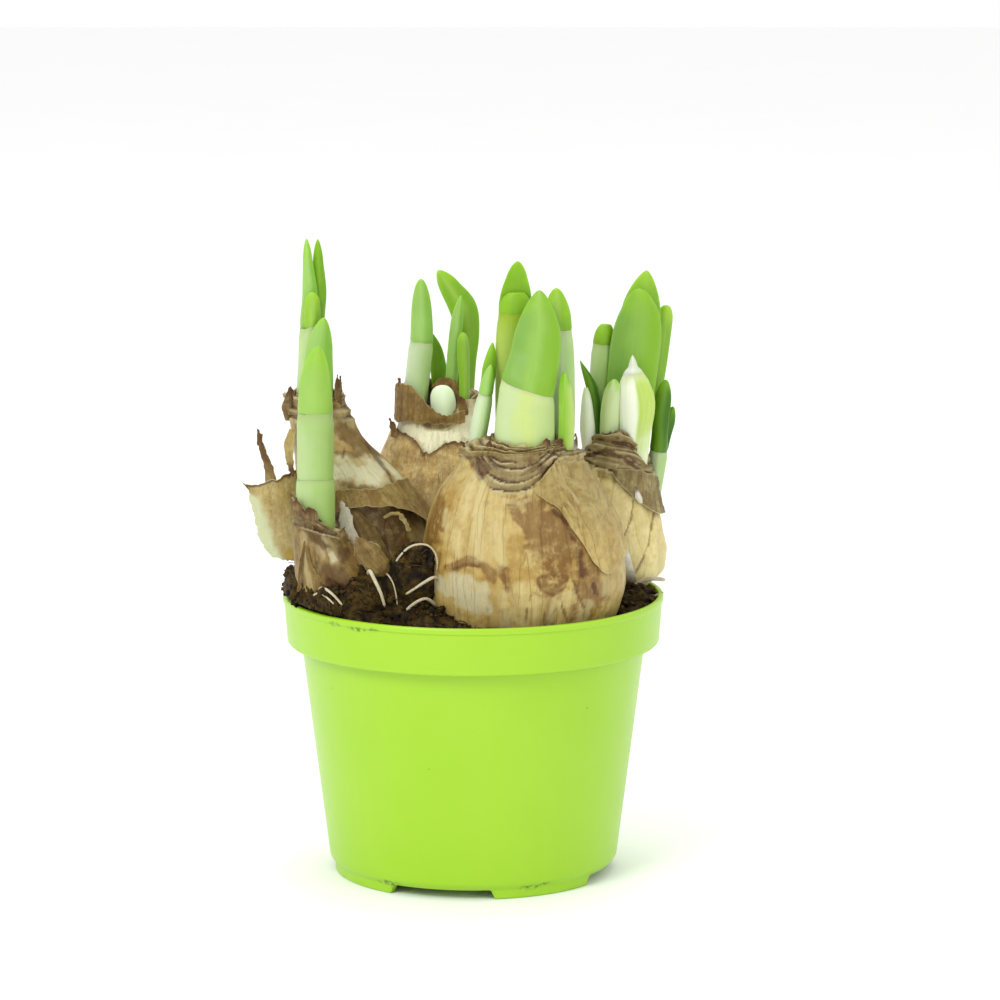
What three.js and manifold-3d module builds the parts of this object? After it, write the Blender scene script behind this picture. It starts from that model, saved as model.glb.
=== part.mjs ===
import * as THREE from 'three';
import { mergeVertices } from 'three/addons/utils/BufferGeometryUtils.js';
import Module from 'manifold-3d';

const wasm = await Module();
wasm.setup();

// Five sprouting daffodil bulbs in a nursery pot. Millimetres, +Z up, the front faces -Y.
// The origin is the middle of the pot's standing face.

// Pot: a thin-walled 12 cm pot with a straight collar and a notched foot
const potHeight = 88.5;
const rimRadius = 60;
const collarFootRadius = 59.1;
const collarFootHeight = 73.5;
const bodyTopRadius = 54.2;
const bodyFootRadius = 45.2;
const wall = 1.2;
const lipHeight = 1.8;
const lipStep = 0.5;
const footHeight = 3.1;
const footRadius = 43.9;
const footWidth = 2.4;
const padRadius = 20;
const notchCount = 4;
const notchAngle = 42.5;
const firstNotchAngle = -13.25;
const drainHoleCount = 8;
const drainHoleRadius = 3.2;
const drainCircleRadius = 31;
const potSegments = 36;

// Touching pieces keep this distance
const gap = 0.3;

// Cut edges are smoothed by up to this much
const smoothing = 0.08;

// Soil
const soilLevel = 84.6;
const soilFloor = footHeight + wall + gap;

const up = new THREE.Vector3(0, 0, 1);
const degrees = Math.PI / 180;

// Colours
const lime = { color: 0xb4ee44, roughness: 0.4 };
const peat = { color: 0x2e2013, roughness: 1 };
const tunic = { color: 0xc4a464, roughness: 0.6 };
const paper = { color: 0x94733c, roughness: 0.8 };
const rootWhite = { color: 0xe1d7b9, roughness: 0.7 };
const leafGreen = { color: 0x8cc83f, roughness: 0.45 };
const leafDark = { color: 0x5c9a26, roughness: 0.45 };
const sheathPale = { color: 0xd2e8a4, roughness: 0.5 };
const scaleWhite = { color: 0xe9edcf, roughness: 0.5 };

// A closed solid from shared points, with its faces turned outwards
function solid(points, triangles) {
  const normal = new THREE.Vector3();
  let volume = 0;
  for (const [a, b, c] of triangles) {
    volume += points[a].dot(normal.crossVectors(points[b], points[c]));
  }
  const outward = volume > 0 ? triangles : triangles.map(([a, b, c]) => [a, c, b]);
  const vertProperties = new Float32Array(points.flatMap((point) => point.toArray()));
  const triVerts = new Uint32Array(outward.flat());
  return new wasm.Manifold(new wasm.Mesh({ numProp: 3, vertProperties, triVerts }));
}

// A solid from a three.js geometry
function fromGeometry(geometry) {
  const bare = new THREE.BufferGeometry();
  bare.setAttribute('position', geometry.getAttribute('position'));
  bare.setIndex(geometry.getIndex());
  const merged = mergeVertices(bare, 1e-4);
  const position = merged.getAttribute('position');
  const index = merged.getIndex();
  const points = [];
  const triangles = [];
  for (let i = 0; i < position.count; i += 1) {
    points.push(new THREE.Vector3().fromBufferAttribute(position, i));
  }
  for (let i = 0; i < index.count; i += 3) {
    const corners = [index.getX(i), index.getX(i + 1), index.getX(i + 2)];
    if (new Set(corners).size === 3) triangles.push(corners);
  }
  return solid(points, triangles);
}

// A closed solid through rings of points. A thin ring runs along one face and back along
// the other, and its ends are closed face to face; other rings are closed to their middle.
function loft(rings, thin = false) {
  const size = rings[0].length;
  const points = rings.flat();
  const triangles = [];
  for (let ring = 0; ring < rings.length - 1; ring += 1) {
    for (let side = 0; side < size; side += 1) {
      const a = ring * size + side;
      const b = ring * size + ((side + 1) % size);
      if (thin && side >= size / 2) {
        triangles.push([a, b, a + size], [b, b + size, a + size]);
      } else {
        triangles.push([a, b, b + size], [a, b + size, a + size]);
      }
    }
  }
  for (const last of [false, true]) {
    const start = last ? (rings.length - 1) * size : 0;
    const cap = [];
    if (thin) {
      for (let k = 0; k < size / 2 - 1; k += 1) {
        const far = start + size - 1 - k;
        cap.push([start + k, far - 1, start + k + 1], [start + k, far, far - 1]);
      }
    } else {
      const middle = new THREE.Vector3();
      rings[last ? rings.length - 1 : 0].forEach((point) => middle.add(point));
      points.push(middle.divideScalar(size));
      for (let side = 0; side < size; side += 1) {
        cap.push([points.length - 1, start + ((side + 1) % size), start + side]);
      }
    }
    triangles.push(...(last ? cap.map(([a, b, c]) => [a, c, b]) : cap));
  }
  return solid(points, triangles);
}

// The value of a list of numbers at a place between 0 and 1 along it
function along(values, t) {
  const place = THREE.MathUtils.clamp(t, 0, 1) * (values.length - 1);
  const low = Math.min(Math.floor(place), values.length - 2);
  return THREE.MathUtils.lerp(values[low], values[low + 1], place - low);
}

// A smooth path through the first three numbers of each station, and at any place along it
// its point, its direction, its facing normal and its right-hand side
function spineOf(stations, facing) {
  const curve = new THREE.CatmullRomCurve3(stations.map(([x, y, z]) => new THREE.Vector3(x, y, z)));
  const look = new THREE.Vector3(Math.sin(facing * degrees), -Math.cos(facing * degrees), 0);
  return {
    length: curve.getLength(),
    at(share) {
      const t = curve.getUtoTmapping(share);
      const direction = curve.getTangent(t);
      const normal = look.clone().addScaledVector(direction, -look.dot(direction)).normalize();
      const side = new THREE.Vector3().crossVectors(direction, normal);
      return { t, point: curve.getPoint(t), direction, normal, side };
    },
  };
}

// A strap leaf or a standing tongue: a thin crescent section swept up a spine to a rounded tip.
// Its stations are [x, y, z, half width]. Facing 0 looks to the front and 90 to the right.
function blade(shape, grow = 0) {
  const { stations, thick, cup = 0.25, facing = 0, tip = [8, 0.5] } = shape;
  const [tipLength, tipPower] = tip;
  const bodySteps = 3;
  const tipSteps = [1, 0.6, 0.28, 0.07, 0];
  const across = 3;
  const leastThick = 0.62;
  const leastRound = 0.14;
  const edgeThinning = 0.55;
  const tipThinning = 0.3;
  const spine = spineOf(stations, facing);
  const tipShare = Math.min(tipLength / spine.length, 0.9);
  const shares = [];
  for (let i = 0; i < bodySteps; i += 1) shares.push((i / bodySteps) * (1 - tipShare));
  for (const step of tipSteps) shares.push(1 - step * tipShare);
  const halves = stations.map((station) => station[3]);
  const rings = shares.map((share, ring) => {
    const { t, point, direction, normal, side } = spine.at(share);
    const fromTip = Math.min((1 - share) / tipShare, 1);
    const round = Math.max((1 - (1 - fromTip) ** 2) ** tipPower, leastRound);
    const half = along(halves, t) * round;
    if (ring === 0) point.addScaledVector(direction, -grow);
    if (ring === shares.length - 1) point.addScaledVector(direction, grow);
    const front = [];
    const back = [];
    for (let k = 0; k <= across; k += 1) {
      const place = (2 * k) / across - 1;
      const offset = place * (half + grow);
      const depth = (-cup * offset * offset) / Math.max(half, 1);
      const thinned = thick * (1 - edgeThinning * place * place) * (1 - tipThinning * (1 - round));
      const skin = Math.max(leastThick, thinned) / 2 + grow;
      const middle = point.clone().addScaledVector(side, offset);
      front.push(middle.clone().addScaledVector(normal, depth + skin));
      back.unshift(middle.clone().addScaledVector(normal, depth - skin));
    }
    return [...front, ...back];
  });
  return loft(rings, true);
}

// A tubular sheath: an oval cup with a thin wall and a slanting rim.
// Its stations are [x, y, z, half width, half depth]; slant is the rise of the rim to the right.
function sheath(shape, grow = 0, filled = false) {
  const { stations, skin = 0.75, slant = 0, facing = 0 } = shape;
  const sides = 12;
  const steps = 3;
  const floor = 1.6;
  const spine = spineOf(stations, facing);
  const widths = stations.map((station) => station[3]);
  const depths = stations.map((station) => station[4]);
  const oval = (share, inset, shift) => {
    const { t, point, direction, normal, side } = spine.at(share);
    point.addScaledVector(direction, shift);
    const ring = [];
    for (let k = 0; k < sides; k += 1) {
      const turn = (2 * Math.PI * k) / sides;
      const right = Math.cos(turn) * (along(widths, t) - inset);
      const front = Math.sin(turn) * (along(depths, t) - inset);
      const rise = right * slant * share * share;
      ring.push(point.clone().addScaledVector(side, right).addScaledVector(normal, front)
        .addScaledVector(up, rise));
    }
    return ring;
  };
  const rings = [];
  for (let i = 0; i <= steps; i += 1) {
    const shift = i === 0 ? -grow : 0;
    rings.push(oval(i / steps, -grow, i === steps ? grow : shift));
  }
  if (filled) return loft(rings);
  const floorShare = floor / spine.length;
  for (let i = steps; i >= 0; i -= 1) {
    const share = i === 0 ? floorShare : i / steps;
    const shift = i === 0 ? grow : 0;
    rings.push(oval(share, skin + grow, i === steps ? grow : shift));
  }
  return loft(rings);
}

// A bulb. Its levels are [z, x, y, half width, half depth, slant], from the base plate up.
// Angle 0 on it looks to the front and 90 to the right.
function bulbAt(levels, share) {
  const column = (k) => along(levels.map((level) => level[k]), share);
  return { z: column(0), x: column(1), y: column(2), width: column(3), depth: column(4), slant: column(5) };
}

// Its surface at an angle and a share of its height, lifted off it by a distance. Broad and
// fine ribs make it a little uneven.
function bulbPoint(levels, angle, share, lift = 0) {
  const { z, x, y, width, depth, slant } = bulbAt(levels, share);
  const broad = 0.014 * Math.sin(3 * angle * degrees + x);
  const fine = 0.008 * Math.sin(7 * angle * degrees + y);
  const ribs = 1 + broad + fine;
  const right = Math.sin(angle * degrees) * (width * ribs + lift);
  const front = Math.cos(angle * degrees) * (depth * ribs + lift);
  return new THREE.Vector3(x + right, y - front, z + right * slant);
}

function bulb(levels, grow = 0, sides = 16) {
  const rings = levels.map((level, i) => {
    const ring = [];
    const share = i / (levels.length - 1);
    const shift = i === 0 ? -grow : 0;
    for (let k = 0; k < sides; k += 1) {
      const point = bulbPoint(levels, (360 * k) / sides, share, grow);
      ring.push(point.addScaledVector(up, i === levels.length - 1 ? grow : shift));
    }
    return ring;
  });
  return loft(rings);
}

// A thin sheet over a grid of points, given as rows from one edge to the other
function sheet(grid, thick, grow = 0) {
  const rows = grid.length;
  const columns = grid[0].length;
  const pick = (row, column) => grid[THREE.MathUtils.clamp(row, 0, rows - 1)][
    THREE.MathUtils.clamp(column, 0, columns - 1)];
  const rings = grid.map((line, row) => {
    const front = [];
    const back = [];
    line.forEach((point, column) => {
      const sideways = pick(row, column + 1).clone().sub(pick(row, column - 1)).normalize();
      const upwards = pick(row + 1, column).clone().sub(pick(row - 1, column)).normalize();
      const normal = new THREE.Vector3().crossVectors(sideways, upwards).normalize();
      const middle = point.clone();
      if (column === 0) middle.addScaledVector(sideways, -grow);
      if (column === columns - 1) middle.addScaledVector(sideways, grow);
      if (row === 0) middle.addScaledVector(upwards, -grow);
      if (row === rows - 1) middle.addScaledVector(upwards, grow);
      front.push(middle.clone().addScaledVector(normal, thick / 2 + grow));
      back.unshift(middle.clone().addScaledVector(normal, -thick / 2 - grow));
    });
    return [...front, ...back];
  });
  return loft(rings, true);
}

// A papery patch of a bulb's outer skin, from one angle to another. Its lower and upper edges
// are heights listed round it, and its lift off the bulb is listed from its lower edge up.
function patch(shape, grow = 0) {
  const { on, from, to, lower, upper, lift, thick = 0.8 } = shape;
  const columns = 8;
  const rows = 4;
  const lowest = on[0][0];
  const highest = on[on.length - 1][0];
  const shareOf = (height) => {
    let [low, high] = [0, 1];
    for (let i = 0; i < 18; i += 1) {
      const middle = (low + high) / 2;
      if (bulbAt(on, middle).z < height) low = middle;
      else high = middle;
    }
    return THREE.MathUtils.clamp((low + high) / 2, 0, 1);
  };
  const grid = [];
  for (let row = 0; row <= rows; row += 1) {
    const line = [];
    for (let column = 0; column <= columns; column += 1) {
      const round = column / columns;
      const height = THREE.MathUtils.lerp(along(lower, round), along(upper, round), row / rows);
      const share = shareOf(THREE.MathUtils.clamp(height, lowest, highest));
      line.push(bulbPoint(on, THREE.MathUtils.lerp(from, to, round), share, along(lift, row / rows)));
    }
    grid.push(line);
  }
  return sheet(grid, thick, grow);
}

// A fleshy root along a path, thinner towards its end
function root(path, radius, grow = 0) {
  const sides = 4;
  const steps = 4;
  const thinning = 0.45;
  const spine = spineOf(path, 0);
  const rings = [];
  for (let i = 0; i <= steps; i += 1) {
    const { point, direction } = spine.at(i / steps);
    const side = new THREE.Vector3(0.36, 0.93, 0.1).cross(direction).normalize();
    const front = new THREE.Vector3().crossVectors(side, direction);
    const size = radius * (1 - thinning * (i / steps)) + grow;
    const ring = [];
    for (let k = 0; k < sides; k += 1) {
      const turn = (2 * Math.PI * k) / sides;
      ring.push(point.clone().addScaledVector(side, Math.cos(turn) * size)
        .addScaledVector(front, Math.sin(turn) * size));
    }
    rings.push(ring);
  }
  return loft(rings);
}

// A base plate with a ring of roots that go down into the soil, and any that lie on top of it
function rootBall(shape, grow = 0) {
  const { levels, count, spread, depth, surface = [] } = shape;
  const { z, x, y, width, depth: deep } = bulbAt(levels, 0);
  const plateHeight = 2.4;
  const plateSides = 10;
  const plateSizes = [0.66, 0.86, 0.8];
  const rootRadius = 1.3;
  const startOut = 0.42;
  const taper = 0.005;
  const top = z - gap;
  const plate = plateSizes.map((size, i) => {
    const height = top - plateHeight * (1 - i / 2) + (i - 1) * grow;
    const ring = [];
    for (let k = 0; k < plateSides; k += 1) {
      const turn = (2 * Math.PI * k) / plateSides;
      const [right, back] = [width * size + grow, deep * size + grow];
      ring.push(new THREE.Vector3(x + Math.cos(turn) * right, y + Math.sin(turn) * back, height));
    }
    return ring;
  });
  let body = loft(plate);
  for (let k = 0; k < count; k += 1) {
    const turn = (2 * Math.PI * (k + 0.3)) / count;
    const [right, back] = [Math.cos(turn), Math.sin(turn)];
    const reach = spread * (0.85 + 0.25 * Math.sin(5 * k));
    const low = z - depth * (0.85 + 0.15 * Math.cos(3 * k));
    // The deeper a root goes, the more the pot's taper turns it inwards
    const down = (out, height) => {
      const inwards = 1 - taper * (z - height);
      return [(x + right * out) * inwards, (y + back * out) * inwards, height];
    };
    const start = [x + right * width * startOut, y + back * deep * startOut, top - plateHeight / 2];
    const path = [
      start, down(reach * 0.62, z - 9), down(reach * 0.95, (z + low) / 2), down(reach * 0.8, low),
    ];
    body = body.add(root(path, rootRadius, grow));
  }
  for (const { path, radius } of surface) body = body.add(root(path, radius, grow));
  return body;
}

const flowerbulbs = new THREE.Group();
const placed = [];

function bodiesMeet(one, other) {
  const [a, b] = [one.boundingBox(), other.boundingBox()];
  return [0, 1, 2].every((axis) => a.min[axis] <= b.max[axis] && b.min[axis] <= a.max[axis]);
}

function largest(body) {
  return body.decompose().reduce((best, piece) => (piece.volume() > best.volume() ? piece : best));
}

function addMesh(name, body, look) {
  const { vertProperties, triVerts } = body.getMesh();
  const geometry = new THREE.BufferGeometry();
  geometry.setAttribute('position', new THREE.BufferAttribute(vertProperties, 3));
  geometry.setIndex(new THREE.BufferAttribute(triVerts, 1));
  geometry.computeVertexNormals();
  const mesh = new THREE.Mesh(geometry, new THREE.MeshStandardMaterial({ metalness: 0, ...look }));
  mesh.name = name;
  flowerbulbs.add(mesh);
}

// Places a piece clear of all that are already there: it is cut back by the gap where it would
// meet them. A piece that stands inside a sheath is cut by its wall alone.
function place(name, look, make, { full = make, inside = '' } = {}) {
  let body = make(0);
  for (const other of placed) {
    const cutter = other.name === inside ? other.shell : other.full;
    if (bodiesMeet(body, cutter)) body = body.subtract(cutter);
  }
  addMesh(name, largest(body).simplify(smoothing), look);
  placed.push({ name, full: full(gap), shell: make(gap) });
}

function placeBlade(name, look, shape, inside) {
  place(name, look, (grow) => blade(shape, grow), { inside });
}

function placeSheath(name, look, shape, inside) {
  place(name, look, (grow) => sheath(shape, grow), { full: (grow) => sheath(shape, grow, true), inside });
}

// Front shoot: a broad pair of leaves in a wide sheath, with two sheathed leaves behind it,
// a short one to its right and a slim pair to its left
placeSheath('front_sheath_main', sheathPale, {
  stations: [[17, -23.8, 128, 7.6, 4.6], [16, -24.6, 140, 9.3, 5.7], [16.9, -26, 157.3, 8.3, 5.2]],
  slant: -0.3,
});
placeBlade('front_leaf_main', leafGreen, {
  stations: [[16, -25, 131, 6.8], [16.9, -26, 156, 7.3], [18.7, -26.4, 164, 7.8], [20, -26, 173, 7.4],
    [20.6, -24.6, 187.4, 5.6]],
  thick: 2.6, tip: [17, 0.6],
}, 'front_sheath_main');
placeSheath('front_sheath_back_left', sheathPale, {
  stations: [[14.6, -16, 128, 4.8, 3], [13.3, -15.2, 145, 6.2, 4], [13.2, -15.6, 165, 6.2, 3.9],
    [13.1, -15.8, 179.3, 5.4, 3.5]],
});
placeBlade('front_leaf_back_left', leafGreen, {
  stations: [[14, -14.8, 131, 3.2], [13.2, -13.9, 150, 4.2], [13.1, -14.2, 176, 3.8],
    [13.2, -14.6, 182, 4.6],
    [14, -15.2, 195.2, 4.4]],
  thick: 1.3, cup: 0.25, facing: 180, tip: [14, 0.55],
}, 'front_sheath_back_left');
placeBlade('front_leaf_back_left_inner', leafGreen, {
  stations: [[14, -16.6, 131, 2.6], [13.2, -16.8, 165, 3.2], [13.2, -16.8, 178, 3.2],
    [13.5, -17.2, 185.8, 3.2]],
  thick: 1, cup: 0.1, tip: [6, 0.5],
}, 'front_sheath_back_left');
placeSheath('front_sheath_back_right', sheathPale, {
  stations: [[25.4, -17.2, 128, 4.6, 3.2], [26.2, -16.6, 145, 5.5, 3.8], [26.2, -16.6, 160, 5.4, 3.8],
    [26.2, -16.8, 174.1, 4.7, 3.4]],
});
placeBlade('front_leaf_back_right', leafGreen, {
  stations: [[25.8, -16.9, 131, 3], [26.2, -16.6, 155, 3.9], [26.2, -16.8, 172.6, 3.3],
    [26.1, -16.8, 177, 4],
    [25.8, -16.8, 187.1, 3.7]],
  thick: 2, cup: 0.15, tip: [11, 0.5],
}, 'front_sheath_back_right');
placeBlade('front_leaf_right', leafGreen, {
  stations: [[28.4, -23, 128, 2.6], [29.3, -25.4, 145, 2.7], [28.9, -26, 155, 2.3],
    [28.2, -26.4, 162.1, 1.8]],
  thick: 2.6, cup: 0.35, facing: 25, tip: [6, 0.5],
});
placeSheath('front_sheath_left', sheathPale, {
  stations: [[0.4, -19.4, 128, 2.2, 2.8], [1.2, -19.8, 138, 2.5, 3.2], [2.4, -20.2, 146, 2.7, 3.3],
    [4, -20.6, 154.6, 2.4, 3.1]],
  skin: 0.65,
});
placeBlade('front_leaf_left_back', leafGreen, {
  stations: [[0.8, -18.8, 131, 1.1], [2.9, -19.5, 148, 1.3], [4.2, -19.7, 155.4, 1.4], [5.2, -19, 162, 2.3],
    [6.2, -18, 170.4, 1.7]],
  thick: 0.9, cup: 0.15, tip: [10, 0.6],
}, 'front_sheath_left');
placeBlade('front_leaf_left_front', leafGreen, {
  stations: [[0.8, -20.3, 131, 1.1], [2.9, -21, 148, 1.3], [4.2, -21.3, 156, 1.5],
    [5.7, -21.6, 163.9, 1.4]],
  thick: 0.9, cup: 0.15, tip: [7, 0.6],
}, 'front_sheath_left');

// Right shoot: one broad leaf with others round it, and a white sheath that holds a flower bud
placeSheath('right_sheath_bud', scaleWhite, {
  stations: [[50.8, 14, 125, 4, 3], [51.1, 12.6, 136, 4.9, 3.6], [51.6, 12, 147, 5.9, 4],
    [50.9, 11.8, 152.5, 5, 3.6], [50.4, 11.6, 157, 3.3, 2.7]],
});
placeBlade('right_flower_bud', scaleWhite, {
  stations: [[50.9, 13, 129, 1.7], [51.4, 12, 147, 2.6], [50.5, 11.6, 157, 2], [50.2, 11.4, 162.4, 1.8]],
  thick: 3, cup: 0, tip: [8, 0.75],
}, 'right_sheath_bud');
placeBlade('right_leaf_front', leafGreen, {
  stations: [[42.6, 12.6, 126, 2.9], [42.8, 11.2, 143, 3.2], [43.6, 10.8, 149, 3.1],
    [44.6, 10.4, 154.8, 2.6]],
  thick: 2.6, cup: 0.35, facing: -20, tip: [6, 0.5],
});
placeBlade('right_leaf_main', leafGreen, {
  stations: [[47.8, 18.4, 127, 6.2], [49.8, 18, 150, 7.8], [51.2, 17.6, 163, 8], [52.4, 17, 173, 7.4],
    [52.4, 16.4, 182.8, 6.4]],
  thick: 2.4, cup: 0.2, tip: [15, 0.55],
});
placeSheath('right_sheath_left', sheathPale, {
  stations: [[40.2, 20.8, 126, 2.9, 2.7], [39.9, 22, 145, 3.5, 3], [40.9, 22.4, 164.4, 3.3, 3]],
});
placeBlade('right_leaf_left', leafGreen, {
  stations: [[40.2, 21.2, 129, 1.4], [40.2, 22.2, 152, 1.8], [40.9, 22.4, 163.6, 1.8],
    [41.4, 22.2, 167, 2.8],
    [42.2, 22, 170.8, 2.6]],
  thick: 1.6, cup: 0.15, tip: [6, 0.5],
}, 'right_sheath_left');
placeBlade('right_leaf_back', leafGreen, {
  stations: [[49, 22.4, 127, 5.2], [52, 22.6, 160, 6.6], [53.2, 22.2, 175, 6.4], [54.9, 21.4, 188, 5.2]],
  thick: 2.2, cup: 0.15, tip: [16, 0.65],
});
placeBlade('right_leaf_back_right', leafGreen, {
  stations: [[51.6, 25, 126, 2.2], [58, 26.2, 152, 3.1], [60.1, 26.2, 167, 3.1], [61.4, 26, 176.4, 2.7]],
  thick: 1.8, tip: [5, 0.45], facing: 15,
});
placeSheath('right_sheath_slim', sheathPale, {
  stations: [[37.6, 14.4, 126, 1.7, 1.7], [36.2, 14, 138, 2.3, 2.2], [35.9, 13.8, 150, 1.6, 1.6]],
  skin: 0.62,
});
placeBlade('right_leaf_slim', leafDark, {
  stations: [[38.6, 17.6, 126, 1.7], [38.9, 17.4, 140, 1.8], [37.8, 17, 150, 1.8],
    [33.7, 16.4, 160.2, 1.3]],
  thick: 1.2, cup: 0.2, tip: [12, 0.8],
});
placeSheath('right_sheath_side', sheathPale, {
  stations: [[57.2, 22.6, 113, 2.1, 3.2], [58, 22.8, 121, 2.6, 3.8], [59, 23, 130, 3.1, 4.1]],
});
placeBlade('right_leaf_side_front', leafDark, {
  stations: [[57.6, 21.3, 117, 1.5], [58.8, 21.4, 131, 2], [59.9, 21.2, 144, 2.8],
    [61.1, 20.8, 153.2, 2.2]],
  thick: 1.4, cup: 0.2, tip: [7, 0.5],
}, 'right_sheath_side');
placeBlade('right_leaf_side_back', leafDark, {
  stations: [[57.7, 24.3, 117, 1.4], [59.6, 25, 130, 1.8], [62, 25.8, 138.5, 2.2],
    [63.7, 26.2, 143.8, 1.7]],
  thick: 1.3, cup: 0.2, tip: [6, 0.5],
}, 'right_sheath_side');

// Back shoot: a sheathed leaf, a long leaf that bends over to the left and shorter ones round it
placeSheath('back_sheath', sheathPale, {
  stations: [[-19.2, 31, 138, 3.3, 3], [-18, 30.7, 151, 3.9, 3.3], [-16.6, 30.5, 163.9, 3.9, 3.2]],
});
placeBlade('back_leaf_main', leafGreen, {
  stations: [[-19, 31, 140, 1.9], [-17.6, 30.6, 155, 2.4], [-16.7, 30.5, 163, 2.4], [-16.5, 30.5, 168, 3.4],
    [-16.7, 30.5, 184.2, 3.1]],
  thick: 1.8, cup: 0.12, tip: [12, 0.5],
}, 'back_sheath');
placeBlade('back_leaf_slim', leafGreen, {
  stations: [[-8, 33, 138, 1.8], [-6.9, 33, 154, 2], [-5.6, 33, 168, 2], [-4, 33, 178.6, 1.5]],
  thick: 1.6, tip: [9, 0.6],
});
placeBlade('back_leaf_short', leafGreen, {
  stations: [[-2.9, 29.6, 138, 1.6], [-2.8, 29.2, 150, 1.7], [-3.1, 28.9, 160, 2],
    [-3.3, 28.7, 167.2, 1.8]],
  thick: 2, cup: 0.3, facing: 15, tip: [4, 0.45],
});
placeBlade('back_leaf_bent', leafDark, {
  stations: [[-4.6, 38.4, 138, 3.2], [-3, 39, 156, 3.7], [-2.2, 39.2, 169, 4], [-4.6, 38.8, 179, 3.6],
    [-11.2, 38.2, 185.6, 2]],
  thick: 2, cup: 0.2, tip: [13, 0.6],
});
placeBlade('back_leaf_low', leafDark, {
  stations: [[-10.6, 37.6, 138, 2.6], [-11, 37.4, 152, 2.7], [-12.4, 37.2, 160, 2.6],
    [-14, 37, 166.6, 1.8]],
  thick: 1.6, tip: [9, 0.6],
});
placeBlade('back_scale_white', scaleWhite, {
  stations: [[-9.7, 28.2, 134, 3.6], [-9.7, 27.4, 145, 3.9], [-9.6, 27.6, 150.6, 3.6]],
  thick: 2.4, cup: 0.3, tip: [5, 0.5],
});

// Left shoot: two long leaves in a tall sheath, a shorter one between them and one in front
placeSheath('left_sheath', sheathPale, {
  stations: [[-49.4, 6, 137, 4.8, 4.4], [-49.9, 5.6, 150, 5.5, 4.9], [-49.7, 5.4, 162, 5.1, 4.6],
    [-50.4, 5.2, 172.5, 4.1, 4.6]],
  slant: 0.1,
});
placeBlade('left_leaf_front', leafGreen, {
  stations: [[-48.9, -0.2, 138, 4.6], [-48.6, -0.8, 154, 4.9], [-48, -0.6, 166, 4.2],
    [-46.5, -0.2, 175.8, 3]],
  thick: 1.4, cup: 0.25, tip: [10, 0.55],
});
placeBlade('left_leaf_short', leafGreen, {
  stations: [[-49.8, 3.4, 139, 2], [-50, 3.1, 160, 2.2], [-50.2, 3.1, 173, 1.9], [-50.2, 2.9, 178, 2.3],
    [-50.3, 2.8, 183.4, 2.2]],
  thick: 1.1, cup: 0.15, tip: [4, 0.45],
}, 'left_sheath');
placeBlade('left_leaf_tall_left', leafGreen, {
  stations: [[-50, 5.2, 139, 2.4], [-50.6, 4.9, 164, 2.5], [-51, 5.1, 182, 2.4], [-51.6, 5.4, 192, 1.6],
    [-52, 5.8, 199.9, 1.1]],
  thick: 1.1, cup: 0.15, tip: [6, 0.6],
}, 'left_sheath');
placeBlade('left_leaf_tall_right', leafGreen, {
  stations: [[-49, 7, 139, 2.4], [-49, 6.9, 164, 2.3], [-48.4, 7.2, 182, 2.5], [-48.5, 7.6, 192, 1.7],
    [-48.6, 8, 199.5, 1.1]],
  thick: 1.1, cup: 0.15, tip: [6, 0.6],
}, 'left_sheath');

// Small shoot: two nested sheaths that hold a leaf in front and one behind it
placeSheath('small_sheath_outer', sheathPale, {
  stations: [[-47.6, -23.6, 101, 4.4, 3.8], [-48.4, -24, 115, 6.3, 5], [-48.6, -24, 128.7, 6.6, 5.3]],
});
placeSheath('small_sheath_inner', sheathPale, {
  stations: [[-47.8, -23.7, 104, 3.3, 2.7], [-48.5, -24, 117, 5, 3.8], [-48.5, -24, 132, 5.6, 4.3],
    [-48.4, -24.2, 149.4, 5.7, 4.3]],
}, 'small_sheath_outer');
placeBlade('small_leaf_front', leafGreen, {
  stations: [[-48, -24.9, 107, 1.9], [-48.5, -25.6, 130, 4.3], [-48.4, -25.6, 150, 4.8],
    [-48.3, -25.4, 160, 4.8], [-47.2, -25, 170.3, 4]],
  thick: 1.7, cup: 0.16, tip: [14, 0.6],
}, 'small_sheath_inner');
placeBlade('small_leaf_back', leafGreen, {
  stations: [[-48, -22.7, 107, 1.9], [-48.5, -22.5, 130, 4.1], [-48.6, -22.6, 150, 4.4],
    [-48.2, -23, 165, 3.4]],
  thick: 1.5, cup: 0.1, facing: 180, tip: [12, 0.6],
}, 'small_sheath_inner');

// Bulbs, each with a hollow in its neck that its shoot stands in
const frontLevels = [
  [68, 15, -24, 10, 9, 0], [73, 15, -24, 18, 16, 0], [80, 15, -24, 25.2, 21, 0],
  [88, 15.2, -24, 29.8, 24.8, 0], [98, 15.6, -24, 31.4, 26.2, 0], [108, 15.4, -23.8, 30.8, 25.4, 0],
  [117, 14.7, -23.2, 28.4, 23, 0], [125, 14.4, -22.6, 25, 19.6, 0],
  [132, 15, -21.8, 21.2, 15.6, 0.02], [137.5, 15.5, -21.2, 18.6, 12.8, 0.06],
];
const rightLevels = [
  [84.4, 41.6, 14, 6, 6, 0], [87, 42.2, 14.6, 11, 10.6, 0], [93.4, 44.6, 16, 16.2, 15.2, 0],
  [100, 44.2, 17, 17.4, 16.6, 0], [107, 43.4, 17.4, 17.1, 16.4, 0], [114, 43, 17.6, 15.8, 15.2, 0],
  [121, 43.8, 17.8, 13.9, 13.2, 0], [127, 45, 18, 11.9, 11.6, -0.1], [134, 45, 18, 10.9, 10.7, -0.16],
];
const backLevels = [
  [79, -11, 33, 8, 8, 0], [84, -11, 33, 16, 14, 0], [91, -11, 33, 21.6, 18.2, 0],
  [100, -11, 33, 24.5, 20.2, 0], [110, -11.2, 33, 23.9, 19.6, 0], [120, -11.4, 33.4, 20.4, 17, 0],
  [130, -11.4, 33.8, 16, 13.6, 0], [138, -11, 34, 13.3, 11.4, 0], [147, -11, 34, 12.5, 10.5, -0.1],
];
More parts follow.
